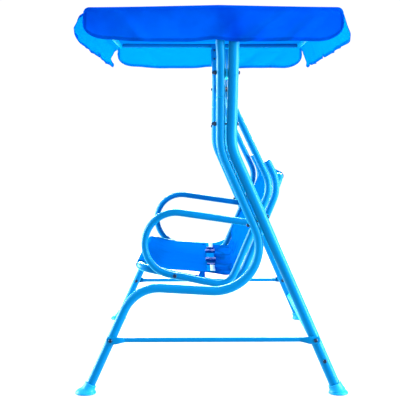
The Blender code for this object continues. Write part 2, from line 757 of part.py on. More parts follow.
def make_canopy_side_bar(sign, side, mat):
    """A bar along the canopy's side, with the welded tab that is screwed to the post."""
    y = sign * FRAME_Y
    low_x = CANOPY_BAR_X["front"] + BAR_R + GAP
    high_x = CANOPY_BAR_X["rear"] - BAR_R - GAP
    bm = bmesh.new()
    sweep(bm, [Vector((low_x, y, CANOPY_BAR_Z)), Vector((high_x, y, CANOPY_BAR_Z))], BAR_R, Y_AXIS)
    obj = finish_mesh("canopy_side_bar_" + side, bm, mat)

    def tab(bm):
        inner = sign * (TAB_FACE - TAB_THICK)
        face = sign * TAB_FACE
        shelf = POST_TOP_Z + 0.0025
        top = CANOPY_BAR_Z + 0.0030
        outline = ((inner, TAB_FOOT_Z), (face, TAB_FOOT_Z), (face, shelf),
                   (y, shelf), (y, top), (inner, top))
        join_rings(bm, [[bm.verts.new((x, *spot)) for spot in outline] for x in (0.0110, 0.0350)])

    weld(obj, tab)

    def holes(bm):
        for z in CANOPY_SCREW_Z:
            drill(bm, Vector((CANOPY_SCREW_X, sign * TAB_FACE, z)), Y_AXIS, 0.006, radius=0.0022, sides=8)

    cut(obj, holes)


def make_canopy_cross_bar(where, mat):
    x = CANOPY_BAR_X[where]
    reach = CANOPY_Y - 0.008
    bm = bmesh.new()
    sweep(bm, [Vector((x, -reach, CANOPY_BAR_Z)), Vector((x, reach, CANOPY_BAR_Z))], BAR_R, Z_AXIS)
    finish_mesh(f"canopy_{where}_bar", bm, mat)


def skirt_drop(share, end):
    """How far the hem hangs at a share 0..1 along a valance; at its two ends, the fraction end of that."""
    edge = min(share, 1.0 - share) / 0.085
    if edge >= 1.0:
        return CANOPY_DROP
    return CANOPY_DROP * (end + (1.0 - end) * math.sqrt(1.0 - (1.0 - edge) ** 2))


FRONT_BULGE = ((0.0, 0.0), (0.10, 0.0110), (0.35, 0.0195), (0.60, 0.0278), (0.80, 0.0245), (1.0, 0.0140))
REAR_BULGE = ((0.0, 0.0), (0.10, 0.0025), (0.35, 0.0080), (0.60, 0.0135), (0.80, 0.0178), (1.0, 0.0178))
SIDE_BULGE = ((0.0, 0.0), (1.0, 0.0030))


def make_canopy(mat):
    """One cloth: a nearly flat top and four valances, open at the corners."""
    stops = [0.0, 0.03, 0.09, 0.22, 0.36, 0.5, 0.64, 0.78, 0.91, 0.97, 1.0]
    last = len(stops) - 1
    bm = bmesh.new()
    top = []
    for s in stops:
        line = []
        for t in stops:
            crown = CANOPY_CROWN * math.sin(math.pi * s) * math.sin(math.pi * t)
            x = CANOPY_FRONT_X + (CANOPY_REAR_X - CANOPY_FRONT_X) * s
            line.append(bm.verts.new((x, CANOPY_Y * (2 * t - 1), CANOPY_TOP_Z + crown)))
        top.append(line)
    for i in range(last):
        for j in range(last):
            bm.faces.new((top[i][j], top[i + 1][j], top[i + 1][j + 1], top[i][j + 1]))

    def skirt(edge, bulge, out, end, flip):
        above = edge
        for t in (0.10, 0.35, 0.60, 0.80, 1.0):
            line = [bm.verts.new(vert.co + out * step_between(t, bulge) - Z_AXIS * skirt_drop(s, end) * t)
                    for vert, s in zip(edge, stops)]
            for k in range(last):
                loop = (above[k], above[k + 1], line[k + 1], line[k])
                bm.faces.new(loop[::-1] if flip else loop)
            above = line

    skirt(top[0], FRONT_BULGE, -X_AXIS, 0.90, False)
    skirt(top[last], REAR_BULGE, X_AXIS, 0.90, True)
    skirt([line[0] for line in top], SIDE_BULGE, -Y_AXIS, 0.62, True)
    skirt([line[last] for line in top], SIDE_BULGE, Y_AXIS, 0.62, False)
    mesh = bpy.data.meshes.new("canopy_cover")
    bm.to_mesh(mesh)
    bm.free()
    obj = bpy.data.objects.new("canopy_cover", mesh)
    bpy.context.scene.collection.objects.link(obj)
    mesh.materials.append(mat)
    mesh.shade_smooth()
    mesh.set_sharp_from_angle(angle=math.radians(40.0))
    shell = obj.modifiers.new("cloth", "SOLIDIFY")
    shell.thickness = CLOTH
    shell.offset = -1.0


# ---------------------------------------------------------------- fasteners


def make_bolt(name, mat, seat, inward, length, nut_at=None, head_r=HEAD_R):
    """A round-headed bolt. seat is under the head; nut_at is where its nut meets the work."""
    head = 0.0036
    profile = [(0.0, head_r * 0.55), (head * 0.35, head_r * 0.88), (head * 0.75, head_r),
               (head, head_r), (head, BOLT_R)]
    if nut_at is not None:
        profile += [(head + nut_at, BOLT_R), (head + nut_at, 0.0056), (head + nut_at + 0.0046, 0.0056),
                    (head + nut_at + 0.0046, BOLT_R)]
    profile.append((head + length, BOLT_R))
    bm = bmesh.new()
    turned(bm, seat - inward.normalized() * head, inward, profile)
    finish_mesh(name, bm, mat)


def make_post_bolts(sign, side, steel):
    """The two bolts through each pair of uprights: domed nuts in front on the left, behind on the right."""
    for level, z in POST_BOLT_Z.items():
        faces = (Vector((front_post_x(z) - FRONT_R - GAP, sign * FRAME_Y, z)),
                 Vector((rear_leg_x(z) + REAR_R + GAP, sign * FRAME_Y, z)))
        nut_face, head_face = faces if side == "left" else faces[::-1]
        inward = (nut_face - head_face).normalized()
        grip = (nut_face - head_face).length
        make_bolt(f"post_bolt_{level}_{side}", steel, head_face, inward, grip + 0.0070)
        bm = bmesh.new()
        turned(bm, nut_face, inward,
               [(0.0, 0.0060), (0.0060, 0.0060), (0.0060, 0.0050), (0.0100, 0.0044), (0.0130, 0.0020)],
               sides=12)
        nut = finish_mesh(f"post_cap_nut_{level}_{side}", bm, steel)
        cut(nut, lambda bm, face=nut_face: drill(bm, face, X_AXIS, 0.0085))


def make_other_bolts(sign, side, steel):
    out = Vector((0.0, sign, 0.0))
    back = 0.0300 + REAR_R
    make_bolt("leg_bolt_" + side, steel, leg_bolt_centre(sign) + SLANT_AXIS * back, -SLANT_AXIS,
              back + FRONT_R + 0.0070, nut_at=back + FRONT_R + GAP)
    for where in ("front", "rear"):
        centre, leg_r = brace_end(sign, where)
        offset = leg_r + 2 * GAP + 2 * BRACE_FLAT
        make_bolt(f"brace_bolt_{where}_{side}", steel, centre + out * offset, -out,
                  offset + leg_r + 0.0070, nut_at=offset + leg_r + GAP)
    seat = Vector((rear_leg_x(STRETCHER_Z), sign * (FRAME_Y + REAR_R + GAP), STRETCHER_Z))
    make_bolt("stretcher_bolt_" + side, steel, seat, -out, 2 * REAR_R + 0.0230)
    seat_y = ARM_Y + ARM_R + GAP
    grip = seat_y - RAIL_Y + RAIL_R + GAP
    make_bolt("arm_bolt_" + side, steel, flat(ARM_BOLT, sign * seat_y), -out, grip + 0.0070, nut_at=grip)
    seat_y = BACK_Y - BACK_R - GAP
    make_bolt("stay_bolt_" + side, steel, flat(STAY_BOLT, sign * seat_y), out, RAIL_Y + 0.0060 - seat_y)


# ---------------------------------------------------------------- assembly


def main():
    clear_scene()
    paint = material("sky_blue_enamel", (0.010, 0.420, 0.860), 0.25)
    plastic = material("cyan_plastic", (0.010, 0.480, 0.900), 0.35)
    canopy_cloth = material("canopy_polyester", (0.003, 0.120, 0.800), 0.70)
    sling_cloth = material("sling_cloth", (0.003, 0.170, 0.900), 0.55)
    webbing = material("belt_webbing", (0.250, 0.650, 0.900), 0.70)
    buckle = material("buckle_plastic", (0.050, 0.250, 0.700), 0.40)
    steel = material("zinc_steel", (0.550, 0.570, 0.600), 0.35, 0.9)
    nylon = material("nylon", (0.050, 0.050, 0.060), 0.50)
    for sign, side in SIDE_NAMES:
        make_rear_leg(sign, side, paint)
        make_front_tube(sign, side, paint)
        make_upper_post(sign, side, paint)
        make_brace(sign, side, paint)
        for where in ("front", "rear"):
            make_foot(sign, side, where, plastic)
        make_canopy_side_bar(sign, side, paint)
        make_post_bolts(sign, side, steel)
        make_other_bolts(sign, side, steel)
        make_pivot(sign, side, steel, nylon)
        make_hanger(sign, side, paint)
        make_tube_cap(sign, side, plastic)
        make_outer_belt(sign, side, webbing, buckle)
        make_socket(sign, side, buckle)
    make_stretcher(paint)
    make_crossbar(paint)
    for where in ("front", "rear"):
        make_canopy_cross_bar(where, paint)
    make_canopy(canopy_cloth)
    make_seat_frame(paint)
    make_backrest(paint)
    make_rear_bar(paint)
    make_sling(sling_cloth)
    make_centre_belt(webbing)


main()
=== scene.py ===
"""Looks of the children's two-seat swing with a canopy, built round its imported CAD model.

X runs from the front (-X) to the back (+X), Y across the swing, +Z up, in metres.
The left side is -Y, the right side is +Y.
"""
from math import acos, atan2, ceil, cos, degrees, exp, hypot, pi, radians, sin, sqrt, tan

import bmesh
import bpy
from mathutils import Matrix, Vector, noise


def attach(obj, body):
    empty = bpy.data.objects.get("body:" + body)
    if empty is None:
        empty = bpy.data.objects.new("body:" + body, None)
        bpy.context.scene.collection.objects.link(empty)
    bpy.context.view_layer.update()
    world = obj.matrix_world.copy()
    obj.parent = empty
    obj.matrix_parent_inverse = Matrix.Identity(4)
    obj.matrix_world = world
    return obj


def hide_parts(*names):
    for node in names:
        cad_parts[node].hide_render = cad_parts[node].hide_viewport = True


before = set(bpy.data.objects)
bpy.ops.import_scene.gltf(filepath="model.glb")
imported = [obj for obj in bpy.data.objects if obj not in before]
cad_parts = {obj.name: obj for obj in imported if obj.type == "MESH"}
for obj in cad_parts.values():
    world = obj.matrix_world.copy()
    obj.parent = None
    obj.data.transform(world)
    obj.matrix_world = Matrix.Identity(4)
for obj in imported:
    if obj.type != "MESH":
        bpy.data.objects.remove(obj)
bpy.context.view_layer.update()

X_AXIS = Vector((1, 0, 0))
Y_AXIS = Vector((0, 1, 0))
Z_AXIS = Vector((0, 0, 1))
SIDE_NAMES = ((-1, "left"), (1, "right"))

# ---- the CAD's dimensions; pairs are (x, z) unless they say otherwise
GAP = 0.0003
BEND_STEP = radians(4.5)
SIDES = 32  # facets round a tube, and round a thin one
THIN_SIDES = 24

FRAME_Y = 0.51
ARM_Y = 0.385
RAIL_Y = 0.362
BACK_Y = 0.339

FRONT_R = 0.0127
REAR_R = 0.015
ARM_R = 0.01
RAIL_R = 0.011
BACK_R = 0.011
CROSS_R = 0.0125
STRETCHER_R = 0.0095
BAR_R = 0.008
BRACE_R = 0.0064

REAR_KNEE = (0.0545, 0.6785)
REAR_SLOPE = 0.436
REAR_LEAN = 0.0266
POST_TOP_Z = 1.038
FRONT_KNEE = (0.0243, 0.672)
FRONT_SLOPE = 0.4395
FRONT_LEAN = 0.007
JOINT_Z = 0.8155
KNEE_R = 0.15
SWEEP_Z = 0.2704
SWEEP_R = 0.1229
LOW_CORNER = (-0.211, 0.2933)
LOW_R = 0.105
LEG_SLOPE = 0.455
LEG_END_Z = 0.009
POST_LEAN_START = (0.0262, 0.9205)
POST_TOP_X = 0.0205

PIVOT = (0.042, 0.8425)
APEX = (0.1739, 0.5627)
ARM_HEEL = (0.0511, 0.2748)
ARM_LOOP_CENTRE = (-0.1013, 0.3964)
ARM_LOOP_R = 0.0908
ARM_END = (0.106, 0.458)
RAIL_TOP = (0.1642, 0.6333)
RAIL_APEX = (0.1986, 0.5637)
RAIL_HEEL = (0.0739, 0.2665)
RAIL_FRONT = (-0.2082, 0.3262)
BACK_FOOT = (0.111, 0.3605)
BACK_TOP = (0.2035, 0.5885)
REAR_BAR = (0.074, 0.2785)

POST_BOLT_Z = {"upper": 0.8835, "lower": 0.7425}
LEG_BOLT_Z = 0.4685
BRACE_Z = {"front": 0.1475, "rear": 0.1495}
STRETCHER_Z = 0.0915
ARM_BOLT = (-0.1044, 0.305)
STAY_BOLT_Z = 0.3765
BRACE_FLAT = 0.0016
EYE_HALF = 0.0074
PIN_R = 0.004
CROSSBAR = (0.0418, 0.8835)
EAR_INNER = 0.0106
EAR_THICK = 0.003

CANOPY_FRONT_X = -0.352
CANOPY_REAR_X = 0.362
CANOPY_Y = 0.53
CANOPY_TOP_Z = 1.0625
CANOPY_DROP = 0.096
CANOPY_DEEP = CANOPY_REAR_X - CANOPY_FRONT_X
CANOPY_BAR_Z = CANOPY_TOP_Z - 0.0022 - GAP - BAR_R
CANOPY_BAR_X = {"front": CANOPY_FRONT_X + 0.0125, "rear": CANOPY_REAR_X - 0.0125}
CANOPY_SCREW_X = 0.0228
CANOPY_SCREW_Z = (1.033, 1.001)
TAB_FACE = FRAME_Y - FRONT_R - GAP
TAB_THICK = 0.0022
TAB_X = (0.011, 0.035)
TAB_LOW_Z = 0.989

SLEEVE = 0.0022
SEAT_LINE = ((-0.172, 0.327), (-0.14, 0.319), (-0.06, 0.3115), (0.02, 0.3045), (0.058, 0.3015),
             (0.074, 0.3065), (0.08, 0.3285), (0.087, 0.3625), (0.116, 0.4225), (0.154, 0.4985),
             (0.179, 0.552))
SLING_HALF_BY_X = ((-0.23, 0.316), (-0.195, 0.316), (-0.165, 0.342), (-0.14, 0.346), (0.06, 0.346))
SLING_HALF_BY_Z = ((0.3055, 0.346), (0.3525, 0.34), (0.4205, 0.334), (0.4905, 0.318), (0.5505, 0.305),
                   (0.5805, 0.298))
BELT_X = (-0.0115, 0.015)
BELT_Z = 0.3093


def rear_leg_x(z):
    if z < REAR_KNEE[1]:
        return REAR_KNEE[0] + REAR_SLOPE * (REAR_KNEE[1] - z)
    return REAR_KNEE[0] + REAR_LEAN * (z - REAR_KNEE[1])


def front_post_x(z):
    return FRONT_KNEE[0] + FRONT_LEAN * (z - FRONT_KNEE[1])


def front_slant_x(z):
    return FRONT_KNEE[0] + FRONT_SLOPE * (FRONT_KNEE[1] - z)


def front_leg_x(z):
    return LOW_CORNER[0] - LEG_SLOPE * (LOW_CORNER[1] - z)


def between(a, b, z):
    return a[0] + (b[0] - a[0]) * (z - a[1]) / (b[1] - a[1])


def on_circle(centre, radius, bearing):
    angle = radians(bearing)
    return (centre[0] + radius * cos(angle), centre[1] + radius * sin(angle))


def arc_points(centre, radius, start, end, steps):
    return [on_circle(centre, radius, start + (end - start) * i / steps) for i in range(steps + 1)]


def flat(point, y):
    """An (x, z) pair in the plane at y."""
    return Vector((point[0], y, point[1]))


FRONT_LEG_END = (front_leg_x(LEG_END_Z), LEG_END_Z)
REAR_LEG_END = (rear_leg_x(LEG_END_Z), LEG_END_Z)
SWEEP_CORNER = (front_slant_x(SWEEP_Z), SWEEP_Z)
SLANT_AXIS = Vector((1, 0, FRONT_SLOPE)).normalized()
STAY_BOLT = ((between(RAIL_HEEL, RAIL_APEX, STAY_BOLT_Z) + between(BACK_FOOT, BACK_TOP, STAY_BOLT_Z)) / 2,
             STAY_BOLT_Z)

# ---- materials
CLOTH_ROUGH = 0.8
STITCH = 0.0042  # length of one stitch and its gap


def node(tree, kind, values=(), **settings):
    """A new node. values are (socket, value or output socket) pairs."""
    made = tree.nodes.new("ShaderNode" + kind)
    for key, value in settings.items():
        setattr(made, key, value)
    for key, value in values:
        if isinstance(value, bpy.types.NodeSocket):
            tree.links.new(value, made.inputs[key])
        else:
            made.inputs[key].default_value = value
    return made


def maths(tree, operation, *values):
    return node(tree, "Math", list(enumerate(values)), operation=operation).outputs[0]


def mixed(tree, factor, first, second):
    """A colour between first and second (RGB tuples or sockets)."""
    first, second = [(*value, 1) if isinstance(value, tuple) else value for value in (first, second)]
    return node(tree, "Mix", [("Factor", factor), (6, first), (7, second)], data_type="RGBA").outputs[2]


def noise_of(tree, vector, scale, detail=2, roughness=0.5):
    return node(tree, "TexNoise", [("Vector", vector), ("Scale", scale), ("Detail", detail),
                                   ("Roughness", roughness)]).outputs["Fac"]


def ranged(tree, value, low, high, low_out, high_out):
    return node(tree, "MapRange", [("Value", value), ("From Min", low), ("From Max", high),
                                   ("To Min", low_out), ("To Max", high_out)]).outputs[0]


def centred(tree, value, low_out, high_out, low=0.3, high=0.7):
    """A noise, which stays near 0.5, stretched over a range."""
    return ranged(tree, value, low, high, low_out, high_out)


def blank_material(name, plain):
    """A new material, its node tree, its shader and a point's place on the object.

    plain holds the shader's uniform values, by socket name.
    """
    mat = bpy.data.materials.new(name)
    mat.use_nodes = True
    tree = mat.node_tree
    shader = tree.nodes["Principled BSDF"]
    for socket, value in plain.items():
        shader.inputs[socket].default_value = value
    return mat, tree, shader, node(tree, "TexCoord").outputs["Object"]


def bumped(tree, height, strength, distance, under=()):
    values = [("Height", height), ("Strength", strength), ("Distance", distance), *under]
    return node(tree, "Bump", values).outputs[0]


def toned(colour, share):
    """A colour made darker, or lighter where share is over 1."""
    return tuple(c * share for c in colour)


def finished(mat, shader, colour, roughness, normal):
    """Links the patterned values and returns the material."""
    for socket, value in (("Base Color", colour), ("Roughness", roughness), ("Normal", normal)):
        mat.node_tree.links.new(value, shader.inputs[socket])
    return mat


def enamel(name, colour, second, roughness):
    """Gloss baked enamel: a slightly uneven coat with fine orange peel."""
    mat, tree, shader, place = blank_material(name, {
        "Specular IOR Level": 0.22, "Specular Tint": (0.1, 0.75, 1, 1),
        "Sheen Weight": 1, "Sheen Roughness": 0.36, "Sheen Tint": (0, 0.92, 1, 1)})
    tint = mixed(tree, centred(tree, noise_of(tree, place, 9, 4), 0, 1), colour, second)
    speck = ranged(tree, noise_of(tree, place, 260), 0.68, 0.76, 0, 0.06)
    tint = mixed(tree, speck, tint, toned(colour, 0.6))
    smear = centred(tree, noise_of(tree, place, 38, 5, 0.6), roughness * 0.85, roughness * 1.3)
    return finished(mat, shader, tint, smear, bumped(tree, noise_of(tree, place, 420), 0.1, 0.00006))


def moulded(name, colour, second, roughness, ior=1.5):
    """Injection-moulded plastic with a fine matt grain."""
    mat, tree, shader, place = blank_material(name, {"Specular IOR Level": 0.15, "IOR": ior})
    tint = mixed(tree, centred(tree, noise_of(tree, place, 30, 4), 0, 1), colour, second)
    grain = node(tree, "TexVoronoi", [("Vector", place), ("Scale", 1400)]).outputs["Distance"]
    matt = ranged(tree, grain, 0, 1, roughness * 0.85, roughness * 1.2)
    return finished(mat, shader, tint, matt, bumped(tree, grain, 0.15, 0.0002))


def zinc(name, colour, roughness):
    """Zinc-plated steel: spangle, a fine bump and a little grime."""
    mat, tree, shader, place = blank_material(name, {"Metallic": 1})
    spangle = node(tree, "TexVoronoi", [("Vector", place), ("Scale", 700)]).outputs["Distance"]
    grime = ranged(tree, noise_of(tree, place, 240, 3), 0.45, 0.65, 0, 0.6)
    tint = mixed(tree, ranged(tree, spangle, 0.1, 0.7, 0, 0.5), colour, toned(colour, 1.6))
    tint = mixed(tree, grime, tint, toned(colour, 0.35))
    dull = ranged(tree, grime, 0, 0.6, roughness, roughness * 2)
    return finished(mat, shader, tint, dull, bumped(tree, noise_of(tree, place, 900), 0.15, 0.0002))


def cloth(name, colour, second, pitch, hem, seams, glow=0, through_colour=None, crumpled=None):
    """Woven cloth. UV map "cloth" is the flat cut in metres; "rim" is the distance from its edges.

    pitch is the size of the weave, hem the width of the turned edge, and seams
    are the distances from the edge at which a row of stitches runs. glow is how
    much light passes through. crumpled is the (x, z, radius) of a bend across
    the cloth that is full of sharp creases; their valleys are dented and also
    darkened in colour, as painted shade.
    """
    mat, tree, shader, place = blank_material(name, {"IOR": 1, "Sheen Weight": 0.12, "Sheen Tint": (0, 0.45, 1, 1)})

    def apart(vector):
        return node(tree, "SeparateXYZ", [(0, vector)]).outputs

    def calc(operation, *values):
        return maths(tree, operation, *values)

    def times(first, second):
        return maths(tree, "MULTIPLY", first, second)

    cut, rim = [apart(node(tree, "UVMap", uv_map=uv_map).outputs[0]) for uv_map in ("cloth", "rim")]
    weave = times(*[calc("SINE", times(cut[k], 2 * pi / pitch)) for k in (0, 1)])
    slub = noise_of(tree, place, 12, 5, 0.6)
    edge = rim[0]
    double = calc("LESS_THAN", edge, hem)
    tint = mixed(tree, centred(tree, slub, 0, 1, 0.32, 0.68), colour, second)
    tint = mixed(tree, ranged(tree, weave, -1, 1, 0, 0.16), tint, toned(colour, 0.55))
    tint = mixed(tree, times(double, 0.38), tint, toned(colour, 0.62))
    height = times(weave, 0.12)
    if crumpled:
        spot = apart(place)
        squares = []
        for axis, centre in ((0, crumpled[0]), (2, crumpled[1])):
            away = calc("SUBTRACT", spot[axis], centre)
            squares.append(times(away, away))
        inside = ranged(tree, calc("SQRT", calc("ADD", *squares)), 0.35 * crumpled[2], crumpled[2], 1, 0)
        drawn = node(tree, "VectorMath", [(0, place), (1, (24, 7, 24))], operation="MULTIPLY")
        streak = noise_of(tree, drawn.outputs[0], 1, 1.5, 0.4)
        shaded_valley = ranged(tree, calc("ABSOLUTE", calc("SUBTRACT", streak, 0.5)), 0, 0.095, 1, 0)
        shaded_valley = times(shaded_valley, inside)
        # Painted shade: the colour in the crease valleys is darkened towards a third of the cloth's colour.
        tint = mixed(tree, times(shaded_valley, 0.55), tint, toned(colour, 0.3))
        height = calc("SUBTRACT", height, times(shaded_valley, 3))
    for distance in seams:
        stitch = calc("GREATER_THAN", calc("FRACT", calc("DIVIDE", rim[1], STITCH)), 0.3)
        thread = times(calc("COMPARE", edge, distance, 0.0006), stitch)
        tint = mixed(tree, times(thread, 0.45), tint, tuple(min(1, c * 1.7) for c in second))
        groove = calc("COMPARE", edge, distance, 0.0016)
        height = calc("SUBTRACT", height, times(groove, 0.5))
        height = calc("ADD", height, times(thread, 0.6))
    height = calc("ADD", height, times(double, 0.8))
    creases = bumped(tree, noise_of(tree, place, 26, 4, 0.55), 0.35, 0.003)
    finished(mat, shader, tint, centred(tree, slub, CLOTH_ROUGH * 0.9, CLOTH_ROUGH * 1.1),
             bumped(tree, height, 0.35, 0.0006, [("Normal", creases)]))
    if glow:
        shade = calc("SUBTRACT", 1, times(double, 0.45))
        passed = mixed(tree, shade, toned(through_colour, 0.3), through_colour)
        through = node(tree, "BsdfTranslucent", [("Color", passed)])
        both = node(tree, "MixShader", [(0, glow), (1, shader.outputs[0]), (2, through.outputs[0])])
        tree.links.new(both.outputs[0], tree.nodes["Material Output"].inputs["Surface"])
    return mat


# Each coat is a material and the name of the slot it fills.
ENAMEL = enamel("sky_blue_enamel", (0, 0.114, 0.335), (0, 0.128, 0.365), 0.3), "enamelled_steel"
BOOT = moulded("cyan_boot_plastic", (0, 0.225, 0.54), (0, 0.25, 0.58), 0.4), "cyan_plastic"
PLUG = moulded("blue_plug_plastic", (0, 0.11, 0.4), (0, 0.12, 0.43), 0.4), "cyan_plastic"
CANOPY = cloth("canopy_polyester", (0, 0.026, 0.43), (0, 0.048, 0.53), 0.0016, hem=0.01, seams=(0.003, 0.0085),
               glow=0.45, through_colour=(0, 0.6, 1)), "canopy_cloth"
# The sling's creased rear corner gets painted shade in its crease valleys.
SLING = cloth("sling_cloth", (0, 0.066, 0.38), (0, 0.078, 0.43), 0.002, hem=0.015, seams=(0.0035, 0.0125),
              glow=0.06, through_colour=(0, 0.2, 0.8), crumpled=(0.062, 0.322, 0.08)), "sling_cloth"
WEBBING = cloth("belt_webbing", (0, 0.12, 0.42), (0, 0.14, 0.46), 0.0024, hem=0.002, seams=(0.0035,)), "webbing"
TAG = cloth("blank_tag", (0.4, 0.56, 0.6), (0.44, 0.6, 0.64), 0.0012, hem=0.001, seams=(0.002,)), "webbing"
BUCKLE = moulded("buckle_plastic", (0, 0.05, 0.26), (0, 0.058, 0.29), 0.55, ior=1.08), "buckle_plastic"
STEEL = zinc("zinc_steel", (0.016, 0.036, 0.075), 0.22), "zinc_steel"
NYLON = moulded("black_nylon", (0.01, 0.011, 0.014), (0.016, 0.017, 0.02), 0.45), "nylon"

# ---- mesh helpers
SHARP = 35  # edges that turn more than this stay hard, in degrees
CLOTH_SHARP = 60
TUBE_LIP = 0.0008  # chamfer at a tube's ends


def placed(name, data):
    """An object with this data, in the scene."""
    obj = bpy.data.objects.new(name, data)
    bpy.context.scene.collection.objects.link(obj)
    return obj


def placed_mesh(name, bm):
    mesh = bpy.data.meshes.new(name)
    bm.to_mesh(mesh)
    bm.free()
    return placed(name, mesh)


def smooth_but_sharp(mesh, limit):
    """Smooth shading, with edges that turn more than the limit left hard."""
    mesh.shade_smooth()
    mesh.set_sharp_from_angle(angle=radians(limit))


def piece(name, bm, coat, body, nodes=(), sharp=SHARP):
    """The finished mesh as an object that rides on a body and stands for CAD nodes.

    coat is its material and the name of the slot that the material fills; the slot's name is not used.
    """
    mat, slot = coat
    bmesh.ops.recalc_face_normals(bm, faces=bm.faces)
    obj = placed_mesh(name, bm)
    obj.data.materials.append(mat)
    smooth_but_sharp(obj.data, sharp)
    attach(obj, body)
    if nodes:
        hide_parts(*nodes)
    return obj


def rounded_path(corners, radii):
    """A path through corners, with each inner corner rounded to its radius."""
    path = [corners[0].copy()]
    for before, corner, after, radius in zip(corners, corners[1:], corners[2:], radii):
        back = (before - corner).normalized()
        ahead = (after - corner).normalized()
        turn = pi - back.angle(ahead)
        inward = (back + ahead).normalized()
        centre = corner + inward * (radius / cos(turn / 2))
        start = corner + back * (radius * tan(turn / 2)) - centre
        axis = back.cross(ahead)
        steps = max(2, ceil(turn / BEND_STEP))
        for i in range(steps + 1):
            path.append(centre + Matrix.Rotation(-turn * i / steps, 3, axis) @ start)
    path.append(corners[-1].copy())
    return path


def new_ring(bm, centre, side, other, half_turn=0, sides=SIDES):
    """A ring of vertices; side and other are its half axes, half_turn shifts it by part of a side."""
    angles = [2 * pi * (k + half_turn) / sides for k in range(sides)]
    return [bm.verts.new(centre + side * cos(angle) + other * sin(angle)) for angle in angles]


def join_rings(bm, rings, capped=True):
    for low, high in zip(rings, rings[1:]):
        count = len(low)
        for k in range(count):
            bm.faces.new((low[k], low[(k + 1) % count], high[(k + 1) % count], high[k]))
    if capped:
        bm.faces.new(rings[0][::-1])
        bm.faces.new(rings[-1])


def sweep(bm, path, sizes, across, sides=SIDES):
    """A closed tube along path; sizes gives each ring's half size across and in plane."""
    rings = []
    side = across.normalized()
    for i, point in enumerate(path):
        into = (point - path[i - 1]).normalized() if i > 0 else None
        out = (path[i + 1] - point).normalized() if i + 1 < len(path) else None
        along = (into + out).normalized() if into and out else into or out
        side = (side - along * side.dot(along)).normalized()
        other = along.cross(side)
        wide, deep = sizes[i]
        rings.append(new_ring(bm, point, side * wide, other * deep, 0.5, sides))
    join_rings(bm, rings)


def tube(bm, path, radius, across, sides=SIDES):
    """A round tube along path, with its two end edges broken."""
    start = (path[1] - path[0]).normalized() * TUBE_LIP
    end = (path[-2] - path[-1]).normalized() * TUBE_LIP
    whole = [path[0], path[0] + start] + path[1:-1] + [path[-1] + end, path[-1]]
    sizes = [(radius, radius)] * len(whole)
    sizes[0] = sizes[-1] = (radius - TUBE_LIP, radius - TUBE_LIP)
    sweep(bm, whole, sizes, across, sides)


def turned(bm, base, axis, profile, sides=28, bore=()):
    """A turned solid: profile is a list of (height, radius) along axis from base.

    bore, if any, is the profile of a hole right through it.
    """
    axis = axis.normalized()
    side = axis.orthogonal().normalized()
    other = axis.cross(side)
    rings = [new_ring(bm, base + axis * height, side * radius, other * radius, sides=sides)
             for height, radius in [*profile, *bore[::-1]]]
    join_rings(bm, rings + rings[:1] if bore else rings, capped=not bore)


def enamelled_tube(name, node_name, path, radius, body="frame", across=Y_AXIS, sides=SIDES):
    bm = bmesh.new()
    tube(bm, path, radius, across, sides)
    piece(name, bm, ENAMEL, body, [node_name])


def cross_tube(name, node_name, spot, reach, radius, body="frame", sides=SIDES):
    """A straight tube along Y through spot, as far as reach on both sides."""
    enamelled_tube(name, node_name, [flat(spot, -reach), flat(spot, reach)], radius, body, Z_AXIS, sides)


def spline(points, steps):
    """A smooth curve through points (Catmull-Rom), with steps pieces for each span."""
    padded = [points[0]] + list(points) + [points[-1]]
    curve = []
    for a, b, c, d in zip(padded, padded[1:], padded[2:], padded[3:]):
        for i in range(steps):
            t = i / steps
            curve.append(tuple(0.5 * (2 * q + (r - p) * t + (2 * p - 5 * q + 4 * r - s) * t * t
                                      + (3 * q - p - 3 * r + s) * t ** 3)
                               for p, q, r, s in zip(a, b, c, d)))
    curve.append(tuple(points[-1]))
    return curve


def step_between(value, table):
    """Straight-line interpolation in a table of (key, result) pairs with rising keys."""
    for (low, first), (high, second) in zip(table, table[1:]):
        if value <= high:
            return first + (second - first) * max(0, (value - low) / (high - low))
    return table[-1][1]


def wander(*place):
    """Smooth noise, from about -1 to 1, at a place."""
    return noise.noise(Vector(place))


def hump(value, middle, half):
    """A smooth bump that is 1 at its middle."""
    return exp(-((value - middle) / half) ** 2)


def smooth_step(value):
    value = max(0, min(1, value))
    return value * value * (3 - 2 * value)


def box(bm, corner, opposite, bevel, segments=2):
    """A box between two opposite corners, with rounded edges."""
    xs, ys, zs = [sorted(pair) for pair in zip(corner, opposite)]
    verts = [bm.verts.new((x, y, z)) for x in xs for y in ys for z in zs]
    faces = [bm.faces.new([verts[i] for i in loop])
             for loop in ((0, 1, 3, 2), (4, 6, 7, 5), (0, 4, 5, 1), (2, 3, 7, 6), (0, 2, 6, 4), (1, 5, 7, 3))]
    edges = list(dict.fromkeys(edge for face in faces for edge in face.edges))
    bmesh.ops.bevel(bm, geom=edges, offset=bevel, segments=segments, affect="EDGES", profile=0.6)


def cloth_piece(name, bm, coat, body, nodes, thickness, offset=-1):
    """A sheet of cloth. The renderer applies Solidify, which makes it thick."""
    obj = piece(name, bm, coat, body, nodes, sharp=CLOTH_SHARP)
    shell = obj.modifiers.new("cloth", "SOLIDIFY")
    shell.thickness = thickness
    shell.offset = offset
    return obj


# ---- side frames


